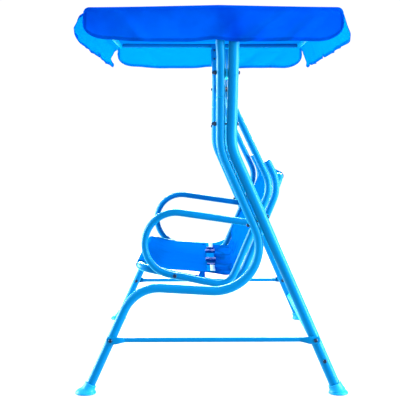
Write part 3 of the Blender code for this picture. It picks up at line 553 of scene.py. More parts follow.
def make_side_frame(sign, side):
    """The rear leg with its post, the long front tube, and the upper post that plugs over it."""
    y = sign * FRAME_Y
    corners = [flat((rear_leg_x(POST_TOP_Z), POST_TOP_Z), y), flat(REAR_KNEE, y), flat(REAR_LEG_END, y)]
    enamelled_tube("rear_leg_tube_" + side, "rear_leg_" + side, rounded_path(corners, [KNEE_R]), REAR_R)
    joint = flat((front_post_x(JOINT_Z), JOINT_Z), y)
    corners = [joint] + [flat(point, y) for point in (FRONT_KNEE, SWEEP_CORNER, LOW_CORNER, FRONT_LEG_END)]
    enamelled_tube("front_tube_" + side, "front_frame_tube_" + side, rounded_path(corners, [KNEE_R, SWEEP_R, LOW_R]),
                   FRONT_R)
    path = [joint + Z_AXIS * 2 * GAP, flat(POST_LEAN_START, y), flat((POST_TOP_X, POST_TOP_Z), y)]
    enamelled_tube("upper_post_tube_" + side, "upper_post_" + side, path, FRONT_R)


BOOT_SIDES = 40
SOLES = {"front": (-0.347, 0.029), "rear": (0.3497, 0.027)}  # the sole's x and radius
# Rings of the sole: lean along the slope, height, tilt towards the leg, radius beyond the sole's.
SOLE_RINGS = ((0, 0, 0, -0.0014), (0, 0.0012, 0, -0.0002), (0, 0.003, 0, 0),
              (0, 0.005, 0, -0.0007), (0.004, 0.0064, 0.3, -0.0026), (0.006, 0.0085, 0.5, -0.005))
# Rings of the collar: distance up the leg, how upright the ring still is, radius beyond the tube's.
COLLAR_RINGS = ((0.0015, 0.5, 0.0078), (0.0045, 0.5, 0.0061), (0.008, 0, 0.0049), (0.012, 0, 0.0041),
                (0.0155, 0, 0.0037), (0.0168, 0, 0.0036), (0.017, 0, 0.0044), (0.0192, 0, 0.0044),
                (0.02, 0, 0.0036), (0.02, 0, 0.0009), (0.0192, 0, GAP), (-GAP, 0, GAP))


def make_boot(sign, side, where):
    """A moulded boot: a round sole that rises into a tilted collar round the leg."""
    y = sign * FRAME_Y
    end, slope, tube_r = ((FRONT_LEG_END, LEG_SLOPE, FRONT_R) if where == "front"
                          else (REAR_LEG_END, -REAR_SLOPE, REAR_R))
    sole_x, sole_r = SOLES[where]
    up = Vector((slope, 0, 1)).normalized()
    outside = [(Vector((sole_x + slope * lean, y, height)), Z_AXIS + up * tilt, sole_r + extra)
               for lean, height, tilt, extra in SOLE_RINGS]
    outside += [(flat(end, y) + up * height, Z_AXIS * upright + up, tube_r + extra)
                for height, upright, extra in COLLAR_RINGS]
    bm = bmesh.new()
    rings = [new_ring(bm, centre, Y_AXIS * radius, Y_AXIS.cross(normal).normalized() * radius, 0.5, BOOT_SIDES)
             for centre, normal, radius in outside]
    join_rings(bm, rings)
    piece(f"boot_{where}_{side}", bm, BOOT, "frame", [f"foot_{where}_{side}"])


def brace_end(sign, where):
    """Where a brace meets the middle of a leg, and the leg's radius."""
    z = BRACE_Z[where]
    x, leg_r = (front_leg_x(z), FRONT_R) if where == "front" else (rear_leg_x(z), REAR_R)
    return Vector((x, sign * FRAME_Y, z)), leg_r


def make_brace(sign, side):
    """A thin tube from leg to leg, pressed flat at both ends over the outer faces."""
    out = Y_AXIS * sign
    ends = [brace_end(sign, where) for where in ("front", "rear")]
    along = (ends[1][0] - ends[0][0]).normalized()
    rows = []
    for (leg, leg_r), inward, extra, stand in zip(ends, (along, -along), (0, 0.002), (0.012, 0.013)):
        face = leg + out * (leg_r + GAP + BRACE_FLAT)
        rows.append([(*spot, wide, deep) for spot, wide, deep in (
            (face - inward * 0.011, 0.005, BRACE_FLAT), (face - inward * 0.01, 0.0082, BRACE_FLAT),
            (face - inward * 0.0075, 0.0102, BRACE_FLAT), (face, 0.0105, BRACE_FLAT),
            (face + inward * (0.013 + extra), 0.0105, BRACE_FLAT + 0.0002),
            (leg + out * stand + inward * (0.025 + extra), 0.0084, 0.0042),
            (leg + out * 0.006 + inward * (0.04 + extra), BRACE_R, BRACE_R),
            (leg + out * 0.006 + inward * (0.06 + extra), BRACE_R, BRACE_R))])
    fine = spline(rows[0] + rows[1][::-1], 4)
    bm = bmesh.new()
    sweep(bm, [Vector(row[:3]) for row in fine], [row[3:] for row in fine], Z_AXIS, sides=THIN_SIDES)
    piece("side_brace_tube_" + side, bm, ENAMEL, "frame", ["side_brace_" + side])


WELD = 0.0018  # width of the weld bead between an ear and the crossbar
WELD_BORE = CROSS_R - 0.001
EAR_TOP_R = 0.012
EAR_LOW_R = 0.0105
EAR_LIP = 0.0006
EAR_STEPS = 16


def make_cross_tubes():
    """The rear stretcher, and the crossbar with its flat ends, hanging ears and weld beads."""
    cross_tube("rear_stretcher_tube", "rear_stretcher", (rear_leg_x(STRETCHER_Z), STRETCHER_Z),
               FRAME_Y - REAR_R - GAP, STRETCHER_R)
    reach = FRAME_Y - REAR_R - 0.003
    bm = bmesh.new()
    tube(bm, [flat(CROSSBAR, -reach), flat(CROSSBAR, reach)], CROSS_R, Z_AXIS)
    outline = arc_points(CROSSBAR, EAR_TOP_R, 0, 180, EAR_STEPS) + arc_points(PIVOT, EAR_LOW_R, 180, 360, EAR_STEPS)
    for sign in (-1, 1):
        x, z = CROSSBAR
        box(bm, (x - 0.0022, sign * (reach - 0.008), z - 0.0105), (x + 0.0022, sign * (FRAME_Y + 0.012), z + 0.0105),
            0.0006)
        for face in (-1, 1):
            near = sign * ARM_Y + face * EAR_INNER
            rows = []
            for out, shrink in ((0, EAR_LIP), (EAR_LIP, 0), (EAR_THICK - EAR_LIP, 0), (EAR_THICK, EAR_LIP)):
                row = []
                for px, pz in outline:
                    centre = CROSSBAR if pz > (CROSSBAR[1] + PIVOT[1]) / 2 else PIVOT
                    inward = Vector((centre[0] - px, 0, centre[1] - pz)).normalized() * shrink
                    row.append(bm.verts.new(Vector((px, near + face * out, pz)) + inward))
                rows.append(row)
            join_rings(bm, rows)
            turned(bm, flat(CROSSBAR, near + face * (EAR_THICK + WELD)), Y_AXIS * -face,
                   [(0, CROSS_R + 0.0002), (0.0008, CROSS_R + 0.0014), (WELD, CROSS_R + 0.0022)],
                   bore=[(0, WELD_BORE), (WELD, WELD_BORE)])
    piece("crossbar_with_ears", bm, ENAMEL, "frame", ["top_crossbar"])


# ---- fasteners
BOLT_R = 0.003
BOLT_HEAD = 0.0036  # height of a bolt's head
BOLT_HEAD_R = 0.0056
PAST_NUT = 0.007  # how far a bolt reaches past the far side
LEG_BOLT_BACK = 0.03  # from the front tube's axis to the rear leg's, along the leg bolt
NUT_HEIGHT = 0.0046
NUT_R = 0.006
PIVOT_HEAD = 0.005  # height of the pivot bolt's head
BUSH_LIP = 0.0021  # how far the bush stands out of the eye
BUSH_R = 0.0062
NUT_BORE = 0.0031


def hex_nut(bm, base, axis, height, radius, bore):
    """A chamfered hexagon from base along axis; radius is to its corners."""
    turned(bm, base, axis, [(0, bore), (0, radius * 0.9), (height * 0.14, radius),
                            (height * 0.86, radius), (height, radius * 0.9), (height, bore)], sides=6)


def threaded(start, end, radius):
    """Profile rows of a thread between two heights."""
    rows = []
    count = max(1, int((end - start) / 0.001))
    for i in range(count):
        base = start + (end - start) * i / count
        rows += [(base, radius * 0.86), (base + (end - start) * 0.5 / count, radius)]
    rows.append((end, radius * 0.8))
    return rows


def make_bolt(what, where, body, seat, inward, length, nut_at=None):
    """A domed bolt with a socket in its head, and a nut where it has one."""
    inward = inward.normalized()
    tip = BOLT_HEAD + length
    bm = bmesh.new()
    profile = [(BOLT_HEAD * height, radius) for height, radius in (
        (0.6, 0.0004), (0.6, 0.0019), (0.1, 0.0021), (0.02, 0.0027), (0.1, BOLT_HEAD_R * 0.66),
        (0.3, BOLT_HEAD_R * 0.86), (0.58, BOLT_HEAD_R * 0.97), (0.86, BOLT_HEAD_R), (1, BOLT_HEAD_R * 0.98),
        (1, BOLT_R))]
    grip = BOLT_HEAD + (length * 0.55 if nut_at is None else nut_at)
    profile += [(grip, BOLT_R)] + threaded(grip + 0.0002, tip - 0.0004, BOLT_R) + [(tip, BOLT_R * 0.6)]
    turned(bm, seat - inward * BOLT_HEAD, inward, profile)
    if nut_at is not None:
        hex_nut(bm, seat + inward * nut_at, inward, NUT_HEIGHT, NUT_R, BOLT_R)
    piece(f"{what}_screw_{where}", bm, STEEL, body, [f"{what}_bolt_{where}"])


def make_cap_nut(where, face, outward):
    """A domed nut on a thin washer."""
    bm = bmesh.new()
    turned(bm, face, outward,
           [(0, NUT_BORE), (0, 0.007), (0.001, 0.0072), (0.0012, 0.0066), (0.0012, NUT_BORE)])
    turned(bm, face + outward * 0.0012, outward,
           [(0, NUT_BORE), (0, 0.006), (0.0006, 0.0064), (0.0042, 0.0064), (0.0048, 0.0058)], sides=6)
    turned(bm, face + outward * 0.0052, outward,
           [(0, NUT_BORE), (0, 0.0054), (0.0018, 0.0053), (0.0038, 0.0047), (0.0056, 0.0036), (0.0068, 0.0022),
            (0.0075, 0.0008)])
    piece("post_dome_nut_" + where, bm, STEEL, "frame", ["post_cap_nut_" + where])


def make_fasteners(sign, side):
    """All bolts of one side but the pivot's."""
    out = Y_AXIS * sign
    y = sign * FRAME_Y
    for level, z in POST_BOLT_Z.items():
        faces = (flat((front_post_x(z) - FRONT_R - GAP, z), y), flat((rear_leg_x(z) + REAR_R + GAP, z), y))
        nut_face, head_face = faces if side == "left" else faces[::-1]
        inward = (nut_face - head_face).normalized()
        make_bolt("post", f"{level}_{side}", "frame", head_face, inward, (nut_face - head_face).length + PAST_NUT)
        make_cap_nut(f"{level}_{side}", nut_face, inward)
    back = LEG_BOLT_BACK + REAR_R
    seat = flat((front_slant_x(LEG_BOLT_Z), LEG_BOLT_Z), y) + SLANT_AXIS * back
    make_bolt("leg", side, "frame", seat, -SLANT_AXIS, back + FRONT_R + PAST_NUT, nut_at=back + FRONT_R + GAP)
    for where in ("front", "rear"):
        centre, leg_r = brace_end(sign, where)
        offset = leg_r + 2 * GAP + 2 * BRACE_FLAT
        make_bolt("brace", f"{where}_{side}", "frame", centre + out * offset, -out, offset + leg_r + PAST_NUT,
                  nut_at=offset + leg_r + GAP)
    seat = flat((rear_leg_x(STRETCHER_Z), STRETCHER_Z), y) + out * (REAR_R + GAP)
    make_bolt("stretcher", side, "frame", seat, -out, 2 * REAR_R + 0.023)
    seat_y = ARM_Y + ARM_R + GAP
    grip = seat_y - RAIL_Y + RAIL_R + GAP
    make_bolt("arm", side, "seat", flat(ARM_BOLT, sign * seat_y), -out, grip + PAST_NUT, nut_at=grip)
    seat_y = BACK_Y - BACK_R - GAP
    make_bolt("stay", side, "seat", flat(STAY_BOLT, sign * seat_y), out, RAIL_Y + 0.006 - seat_y)


def make_pivot(sign, side):
    """The bolt and nut that stay with the frame, and the bush that turns with the seat."""
    out = Y_AXIS * sign
    centre = flat(PIVOT, sign * ARM_Y)
    reach = EAR_INNER + EAR_THICK + GAP
    bm = bmesh.new()
    turned(bm, centre + out * (reach + PIVOT_HEAD), -out, [
        (0.003, 0.0005), (0.003, 0.0026), (0.0002, 0.0028), (0, 0.005), (0.0005, 0.0062), (0.0014, 0.0071),
        (0.0024, 0.0074), (PIVOT_HEAD, 0.0074), (PIVOT_HEAD, PIN_R), (2 * reach + 0.006, PIN_R)]
        + threaded(2 * reach + 0.0062, 2 * reach + 0.0126, PIN_R) + [(2 * reach + 0.013, PIN_R * 0.6)])
    piece("pivot_screw_" + side, bm, STEEL, "frame", ["pivot_bolt_" + side])
    bm = bmesh.new()
    hex_nut(bm, centre - out * reach, -out, 0.0065, 0.0079, PIN_R + 0.0002)
    piece("pivot_hex_nut_" + side, bm, STEEL, "frame", ["pivot_nut_" + side])
    bm = bmesh.new()
    half = EYE_HALF + BUSH_LIP
    turned(bm, centre - Y_AXIS * half, Y_AXIS,
           [(0, 0.0086), (0.0003, 0.0088), (0.0015, 0.0088), (0.0018, 0.0086), (0.0018, BUSH_R), (2 * half, BUSH_R)],
           bore=[(0, PIN_R + 0.0003), (2 * half, PIN_R + 0.0003)])
    piece("pivot_bushing_" + side, bm, NYLON, "seat", ["pivot_bush_" + side])


def pan_head(bm, seat, outward):
    """A pan-head screw: a domed head with a small recess, standing on a face."""
    turned(bm, seat, outward, [(0, 0.0016), (0, 0.00392), (0.0006, 0.004), (0.0013, 0.00372), (0.002, 0.0028),
                               (0.0024, 0.00136), (0.0013, 0.00088)], sides=20)


# ---- seat tubes


def tangent_angle(point, turn):
    """The angle on the armrest's loop at which a line from point touches it; turn says on which side."""
    dx = point[0] - ARM_LOOP_CENTRE[0]
    dz = point[1] - ARM_LOOP_CENTRE[1]
    away = degrees(atan2(dz, dx))
    return (away + turn * degrees(acos(ARM_LOOP_R / hypot(dx, dz)))) % 360


def loop_corner(first, second):
    """Where the loop's tangents at two angles meet."""
    half = radians(second - first) / 2
    return on_circle(ARM_LOOP_CENTRE, ARM_LOOP_R / cos(half), (first + second) / 2)


# Rings of the eye at a hanger's top: height down the tube, half size in plane, half size across.
EYE_RINGS = ((-0.0125, 0.004, 0.0058), (-0.0118, 0.0058, 0.0066), (-0.01, 0.0084, 0.0072),
             (-0.007, 0.0106, EYE_HALF), (-0.003, 0.0115, EYE_HALF), (0.005, 0.0116, EYE_HALF),
             (0.013, 0.0115, EYE_HALF), (0.02, 0.0112, 0.0079), (0.027, 0.0107, 0.0087),
             (0.034, 0.0102, 0.0095), (0.04, ARM_R, ARM_R))
EYE_BORE = 0.0066
CUTTER_HALF = 0.02
HANGER_BENDS = (0.088, 0.05, ARM_LOOP_R, ARM_LOOP_R)
RAIL_BENDS = (0.1, 0.078, 0.036)
BACK_BEND = 0.036


def make_hanger(sign, side):
    """Eye, stay, bottom heel, loop and armrest in one tube. A cutter that is then removed bores the eye."""
    y = sign * ARM_Y
    top = flat(PIVOT, y)
    down = (flat(APEX, y) - top).normalized()
    low = tangent_angle(ARM_HEEL, -1)
    high = tangent_angle(ARM_END, 1)
    middle = (low + high) / 2
    profile = (PIVOT, APEX, ARM_HEEL, loop_corner(low, middle), loop_corner(middle, high), ARM_END)
    corners = [flat(point, y) for point in profile]
    bends = rounded_path(corners, HANGER_BENDS)
    path = [top + down * height for height, _, _ in EYE_RINGS] + bends[1:-1]
    sizes = [(wide, deep) for _, deep, wide in EYE_RINGS] + [(ARM_R, ARM_R)] * (len(bends) - 2)
    run = (corners[-1] - corners[-2]).normalized()
    for height, radius in ((-0.034, ARM_R), (0.012, ARM_R), (0.017, ARM_R - 0.0006), (0.018, ARM_R - 0.003)):
        path.append(corners[-1] + run * height)
        sizes.append((radius, radius))
    bm = bmesh.new()
    sweep(bm, path, sizes, Y_AXIS)
    obj = piece("hanger_tube_" + side, bm, ENAMEL, "seat", ["hanger_arm_" + side])
    bm = bmesh.new()
    turned(bm, top - Y_AXIS * CUTTER_HALF, Y_AXIS, [(0, EYE_BORE), (2 * CUTTER_HALF, EYE_BORE)])
    bmesh.ops.recalc_face_normals(bm, faces=bm.faces)
    cutter = placed_mesh("eye_cutter", bm)
    modifier = obj.modifiers.new("eye", "BOOLEAN")
    modifier.operation = "DIFFERENCE"
    modifier.solver = "EXACT"
    modifier.use_self = True
    modifier.object = cutter
    bpy.context.view_layer.update()
    bored = bpy.data.meshes.new_from_object(obj.evaluated_get(bpy.context.evaluated_depsgraph_get()))
    obj.modifiers.clear()
    obj.data = bored
    smooth_but_sharp(bored, SHARP)
    bpy.data.objects.remove(cutter, do_unlink=True)


def make_seat_tubes():
    """The frame round the bench with its plugs, the backrest's hoop and the rear bar."""
    profile = [RAIL_TOP, RAIL_APEX, RAIL_HEEL, RAIL_FRONT]
    corners = [flat(point, -RAIL_Y) for point in profile] + [flat(point, RAIL_Y) for point in profile[::-1]]
    enamelled_tube("seat_rail_tube", "seat_frame_tube", rounded_path(corners, RAIL_BENDS + RAIL_BENDS[::-1]), RAIL_R,
                   "seat")
    corners = [flat(BACK_FOOT, -BACK_Y), flat(BACK_TOP, -BACK_Y), flat(BACK_TOP, BACK_Y), flat(BACK_FOOT, BACK_Y)]
    enamelled_tube("backrest_hoop", "backrest_tube", rounded_path(corners, [BACK_BEND] * 2), BACK_R, "seat")
    cross_tube("seat_rear_tube", "seat_rear_bar", REAR_BAR, RAIL_Y - RAIL_R - GAP, BAR_R, "seat")
    up = (flat(RAIL_TOP, 0) - flat(RAIL_APEX, 0)).normalized()
    for sign, side in SIDE_NAMES:
        bm = bmesh.new()
        turned(bm, flat(RAIL_TOP, sign * RAIL_Y) + up * GAP, up,
               [(0, 0.0106), (0.0004, 0.0109), (0.0016, 0.0108), (0.0025, 0.0098), (0.0031, 0.008),
                (0.0034, 0.005), (0.0034, 0.001)], sides=SIDES)
        piece("tube_plug_" + side, bm, PLUG, "seat", ["seat_tube_cap_" + side])


# ---- sling and belts


def sling_half(x, z):
    """Half the sling's width, by x over the seat and by z up the back."""
    if x > 0 and z > SLING_HALF_BY_Z[0][0]:
        return step_between(z, SLING_HALF_BY_Z)
    return step_between(x, SLING_HALF_BY_X)


def rail_z(x):
    share = (x - RAIL_FRONT[0]) / (RAIL_HEEL[0] - RAIL_FRONT[0])
    return RAIL_FRONT[1] + (RAIL_HEEL[1] - RAIL_FRONT[1]) * share


def add_quads(bm, rows, flip=False):
    """Quads over rows of (vertex, cut, rim): the flat cut and the distance from the edge become UV maps."""
    cut_map = bm.loops.layers.uv.get("cloth") or bm.loops.layers.uv.new("cloth")
    rim_map = bm.loops.layers.uv.get("rim") or bm.loops.layers.uv.new("rim")
    for near, far in zip(rows, rows[1:]):
        for j in range(len(near) - 1):
            corners = [near[j], far[j], far[j + 1], near[j + 1]]
            if flip:
                corners.reverse()
            face = bm.faces.new([vert for vert, _, _ in corners])
            for loop, (_, cut, rim) in zip(face.loops, corners):
                loop[cut_map].uv = cut
                loop[rim_map].uv = rim


def seat_cloth(name, rows, coat, nodes, thickness, offset=-1):
    """A sheet on the seat, over rows of (point, cut, rim)."""
    bm = bmesh.new()
    add_quads(bm, [[(bm.verts.new(point), cut, rim) for point, cut, rim in row] for row in rows])
    return cloth_piece(name, bm, coat, "seat", nodes, thickness, offset)


SLING_COLUMNS = 72
STRAP_ROWS = 26
TAG_ROWS = 12
SLING_SAG = 0.004
SEAT_CORNER = (0.066, 0.318)  # where the cloth bends from seat to back and crumples


def make_sling():
    """Seat and back in one cloth, in sleeves round the front bar and the backrest's top."""
    front = arc_points(RAIL_FRONT, RAIL_R + SLEEVE, 330, 72, 30)
    top = arc_points(BACK_TOP, BACK_R + SLEEVE, 158, -60, 26)
    middle = spline(SEAT_LINE, 7)
    points = [Vector(spot) for spot in front + middle + top]
    run = [0]
    for a, b in zip(points, points[1:]):
        run.append(run[-1] + (b - a).length)
    front_end = run[len(front) - 1]
    top_start = run[len(front) + len(middle)]
    rows = []
    for i, point in enumerate(points):
        along = (points[min(i + 1, len(points) - 1)] - points[max(i - 1, 0)]).normalized()
        normal = Vector((-along.y, along.x))
        half = sling_half(point.x, point.y)
        free = smooth_step((run[i] - front_end) / 0.03) * smooth_step((top_start - run[i]) / 0.03)
        corner = hump(point.x, SEAT_CORNER[0], 0.03) * hump(point.y, SEAT_CORNER[1], 0.034)
        row = []
        for j in range(SLING_COLUMNS + 1):
            share = 2 * j / SLING_COLUMNS - 1
            y = half * share
            folds = wander(run[i] * 16, y * 5, 3)
            ripple = wander(run[i] * 34 + y * 14, y * 22, 9)
            sag = -SLING_SAG * (1 - share * share) * free * (1 - corner)
            edge_curl = 0.0012 * smooth_step((abs(share) - 0.94) / 0.06)
            crease = abs(wander(run[i] * 9 + y * 7, y * 17, 21))
            near_edge = smooth_step((abs(share) - 0.55) / 0.45)
            lift = free * (0.0012 * folds + 0.0007 * ripple)
            lift += corner * (0.0058 * ripple + 0.0024 * folds - 0.01 * near_edge * (0.35 - crease))
            offset = normal * (sag + lift + edge_curl * free)
            row.append((flat(point + offset, y), (y, run[i]), (min(half - abs(y), 1), run[i])))
        rows.append(row)
    sling = seat_cloth("sling_cloth", rows, SLING, ["seat_sling"], thickness=0.0014, offset=0)
    for sign, side in SIDE_NAMES:
        rows = []
        around = [(0.329, 0.3087), (0.338, 0.3089), (0.3455, 0.309)]
        ring = arc_points((RAIL_Y, 0), RAIL_R + 0.0011, 110, -130, 26)
        length = 0
        for k, (across, height) in enumerate(around + ring):
            row = []
            for share in (0, 0.25, 0.5, 0.75, 1):
                x = -0.017 - (0.008 + 0.019 * min(1, k / 5)) * (1 - share)
                z = height if k < len(around) else rail_z(x) + height
                row.append((flat((x, z), sign * across), (x, length), (0.027 * min(share, 1 - share), length)))
            if rows:
                length += (row[2][0] - rows[-1][2][0]).length
            rows.append(row)
        seat_cloth("sling_tab_" + side, rows, SLING, (), thickness=0.001, offset=0)


def strap(name, low_y, high_y, node_name):
    """A flat webbing strap across the seat, slightly crowned and rippled."""
    width = BELT_X[1] - BELT_X[0]
    rows = []
    for i in range(STRAP_ROWS + 1):
        y = low_y + (high_y - low_y) * i / STRAP_ROWS
        row = []
        for share in (0, 0.08, 0.3, 0.5, 0.7, 0.92, 1):
            x = BELT_X[0] + width * share
            wave = 0.0005 * sin(y * 70) + 0.0003 * wander(x * 60, y * 20, 1)
            crown = 0.0003 * (1 - (2 * share - 1) ** 2)
            row.append((Vector((x, y, BELT_Z + 0.0014 + wave + crown)), (x, y), (width * min(share, 1 - share), y)))
        rows.append(row)
    seat_cloth(name, rows, WEBBING, [node_name], thickness=0.0014)


def belt_box(bm, inset, ys, low, high, bevel, segments=3):
    """A rounded box across the belt, set in from its edges, between two heights over the belt's underside."""
    box(bm, (BELT_X[0] + inset, ys[0], BELT_Z + low), (BELT_X[1] - inset, ys[1], BELT_Z + high), bevel, segments)


# Distances from the middle of the bench along Y.
LAP_REACH = (0.345, 0.2125)
TAG_REACH = (0.218, 0.34)
TONGUE_REACH = (0.2137, 0.193)
PRONG_REACH = (0.194, 0.179)
SOCKET_REACH = (0.0803, 0.125)
CENTRE_REACH = 0.08


def make_belts():
    for sign, side in SIDE_NAMES:
        lap, tag, tongue, prong, socket = [[sign * y for y in reach] for reach in (
            LAP_REACH, TAG_REACH, TONGUE_REACH, PRONG_REACH, SOCKET_REACH)]
        strap("lap_strap_" + side, min(lap), max(lap), "lap_belt_" + side)
        rows = []
        for i in range(TAG_ROWS + 1):
            y = tag[0] + (tag[1] - tag[0]) * i / TAG_ROWS
            z = BELT_Z + 0.003 + 0.0004 * sin(y * 90)
            rows.append([(Vector((x, y, z)), (x, y), (rim, y))
                         for x, rim in ((-0.001, 0.002), (0.006, 0.009), (0.013, 0.002))])
        seat_cloth("strap_tag_" + side, rows, TAG, (), thickness=0.0006)
        bm = bmesh.new()
        belt_box(bm, 0.001, tongue, 0, 0.005, 0.0012)
        for x in (BELT_X[0] + 0.006, BELT_X[1] - 0.006):
            box(bm, (x - 0.0022, prong[0], BELT_Z + 0.0012), (x + 0.0022, prong[1], BELT_Z + 0.004), 0.0009, 3)
        piece("tongue_" + side, bm, BUCKLE, "seat", ["belt_tongue_" + side])
        bm = bmesh.new()
        belt_box(bm, -0.003, socket, 0, 0.0078, 0.0022, segments=4)
        middle = sum(socket) / 2
        belt_box(bm, 0.007, (middle - 0.0085, middle + 0.0085), 0.006, 0.009, 0.0012)
        for ridge in (middle - 0.004, middle, middle + 0.004):
            belt_box(bm, 0.009, (ridge - 0.0006, ridge + 0.0006), 0.0086, 0.0094, 0.0003, segments=2)
        piece("buckle_" + side, bm, BUCKLE, "seat", ["belt_socket_" + side])
    strap("centre_strap", -CENTRE_REACH, CENTRE_REACH, "centre_belt")


# ---- canopy
FRONT_BULGE = ((0, 0), (0.1, 0.011), (0.35, 0.0195), (0.6, 0.0278), (0.8, 0.0245), (1, 0.014))
REAR_BULGE = ((0, 0), (0.1, 0.0025), (0.35, 0.008), (0.6, 0.0135), (0.8, 0.0178), (1, 0.0178))
SIDE_BULGE = ((0, 0), (1, 0.003))
END_R = 0.016  # how round the cloth turns over the front and rear bars
SIDE_R = 0.0095  # and over the side bars
SKIRT_ROWS = 22
TOP_CELLS = {"x": 56, "y": 76}
RIDGE_RISE = 0.0062  # how far the posts lift the cloth, and how far along X they do
RIDGE_REACH = 0.34


def soft_between(value, table):
    """As step_between, but rounded between the table's points."""
    k = 0
    while k < len(table) - 2 and value > table[k + 1][0]:
        k += 1
    before, start, end, after = table[max(k - 1, 0)], table[k], table[k + 1], table[min(k + 2, len(table) - 1)]
    span = end[0] - start[0]
    t = max(0, min(1, (value - start[0]) / span))
    slope_in = (end[1] - before[1]) / (end[0] - before[0]) * span
    slope_out = (after[1] - start[1]) / (after[0] - start[0]) * span
    return ((2 * t ** 3 - 3 * t ** 2 + 1) * start[1] + (t ** 3 - 2 * t ** 2 + t) * slope_in
            + (-2 * t ** 3 + 3 * t ** 2) * end[1] + (t ** 3 - t ** 2) * slope_out)


def skirt_drop(share, end, width, waves):
    """Depth of the hem at a share 0..1 along a valance.

    end is the fraction left at its two ends, width the share of the length that
    is rounded, and waves a list of (place, half length, lift) for uneven spots.
    """
    edge = min(share, 1 - share) / width
    drop = CANOPY_DROP
    if edge < 1:
        drop *= end + (1 - end) * sqrt(max(0, 1 - (1 - edge) ** 2))
    for place, half, lift in waves:
        drop -= lift * hump(share, place, half)
    return drop


def edge_fall(distance, radius):
    """How far the cloth has turned down at this distance inside the canopy's edge."""
    if distance >= radius:
        return 0
    return radius - sqrt(max(0, radius ** 2 - (radius - distance) ** 2))


def stations(low, high, cells, radius):
    """Even stations from low to high, with extra ones in the rounded edges."""
    inner = [low + radius + (high - low - 2 * radius) * i / cells for i in range(cells + 1)]
    rim = [low + radius * (1 - cos(radians(a))) for a in (0, 18, 36, 54, 72)]
    far = [high - radius * (1 - cos(radians(a))) for a in (72, 54, 36, 18, 0)]
    return rim + inner + far


def make_canopy():
    """One cloth: a nearly flat top and four hanging valances, open at the corners."""
    xs = stations(CANOPY_FRONT_X, CANOPY_REAR_X, TOP_CELLS["x"], END_R)
    ys = stations(-CANOPY_Y, CANOPY_Y, TOP_CELLS["y"], SIDE_R)
    bm = bmesh.new()
    top = []
    for x in xs:
        s = (x - CANOPY_FRONT_X) / CANOPY_DEEP
        from_ends = min(x - CANOPY_FRONT_X, CANOPY_REAR_X - x)
        line = []
        for y in ys:
            t = (y + CANOPY_Y) / (2 * CANOPY_Y)
            from_sides = min(y + CANOPY_Y, CANOPY_Y - y)
            z = CANOPY_TOP_Z + 0.003 * sin(pi * s) * sin(pi * t)
            z += RIDGE_RISE * max(0, 1 - abs(x - POST_TOP_X) / RIDGE_REACH) ** 1.3
            inner = min(1, min(from_ends, from_sides) / 0.05)
            z += inner * 0.0016 * wander(x * 7, y * 7, 0)
            z -= edge_fall(from_ends, END_R) + edge_fall(from_sides, SIDE_R)
            line.append((bm.verts.new((x, y, z)), (x, y), (0.5, x)))
        top.append(line)
    add_quads(bm, top)

    def skirt(edge, along, bulge, out, end, width, waves, creases, seed, flip):
        """edge: the top's cells to hang from; along: their place along the edge; out: which way it bulges.

        creases are (share at the top, lean, half width, height) of slanting soft folds.
        """
        low, high = along[0], along[-1]
        columns = []
        for (vert, _, _), place in zip(edge, along):
            share = (place - low) / (high - low)
            drop = skirt_drop(share, end, width, waves) - (CANOPY_TOP_Z - vert.co.z)
            wide = 0.93 + 0.07 * smooth_step(min(share, 1 - share) / 0.02)
            column = [(vert, (place, 0), (CANOPY_DROP, place))]
            for r in range(1, SKIRT_ROWS + 1):
                t = r / SKIRT_ROWS
                down = drop * t
                bow = soft_between(t, bulge) * wide
                wave = wander(place * 9, t * 1.3, seed)
                fine = wander(place * 30, t * 3, seed + 5)
                flutter = t * (0.003 * wave + 0.0011 * fine)
                for middle, half, lift in waves:
                    flutter -= 0.35 * lift * t * hump(share, middle, 1.6 * half)
                for start, lean, half, height in creases:
                    flutter += height * t ** 0.5 * hump(share, start + lean * t, half)
                left = drop * (1 - t)
                hem = 0.0006 if left < 0.01 else 0
                spot = vert.co + out * (bow + flutter + hem) - Z_AXIS * down
                column.append((bm.verts.new(spot), (place, 0.6 + down),
                               (min(left, place - low + 0.0005, high - place + 0.0005), place)))
            columns.append(column)
        add_quads(bm, columns, flip)

    pleats = [(0.525, 0.008, 0.009), (0.86, 0.01, 0.006), (0.2, 0.05, 0.003)]
    long_folds = [(0.16, 0.05, 0.02, 0.0075), (0.37, -0.04, 0.026, 0.0055), (0.71, 0.06, 0.02, 0.0075)]
    skirt(top[0], ys, FRONT_BULGE, -X_AXIS, 0.82, 0.05, pleats, long_folds, 1, False)
    skirt(top[-1], ys, REAR_BULGE, X_AXIS, 0.86, 0.05, pleats[::-1], long_folds, 2, True)
    swells = [(0.1, 0.07, 0.006), (0.5, 0.05, 0.006), (0.8, 0.1, 0.002)]
    short_folds = [(0.13, 0.1, 0.028, 0.006), (0.62, -0.1, 0.032, 0.005), (0.8, -0.16, 0.028, 0.012),
                   (0.93, -0.14, 0.024, 0.009)]
    skirt([line[0] for line in top], xs, SIDE_BULGE, -Y_AXIS, 0.5, 0.105, swells, short_folds, 3, True)
    skirt([line[-1] for line in top], xs, SIDE_BULGE, Y_AXIS, 0.5, 0.105, swells, short_folds, 4, False)
    canopy = cloth_piece("canopy_cloth", bm, CANOPY, "frame", ["canopy_cover"], thickness=0.0012)


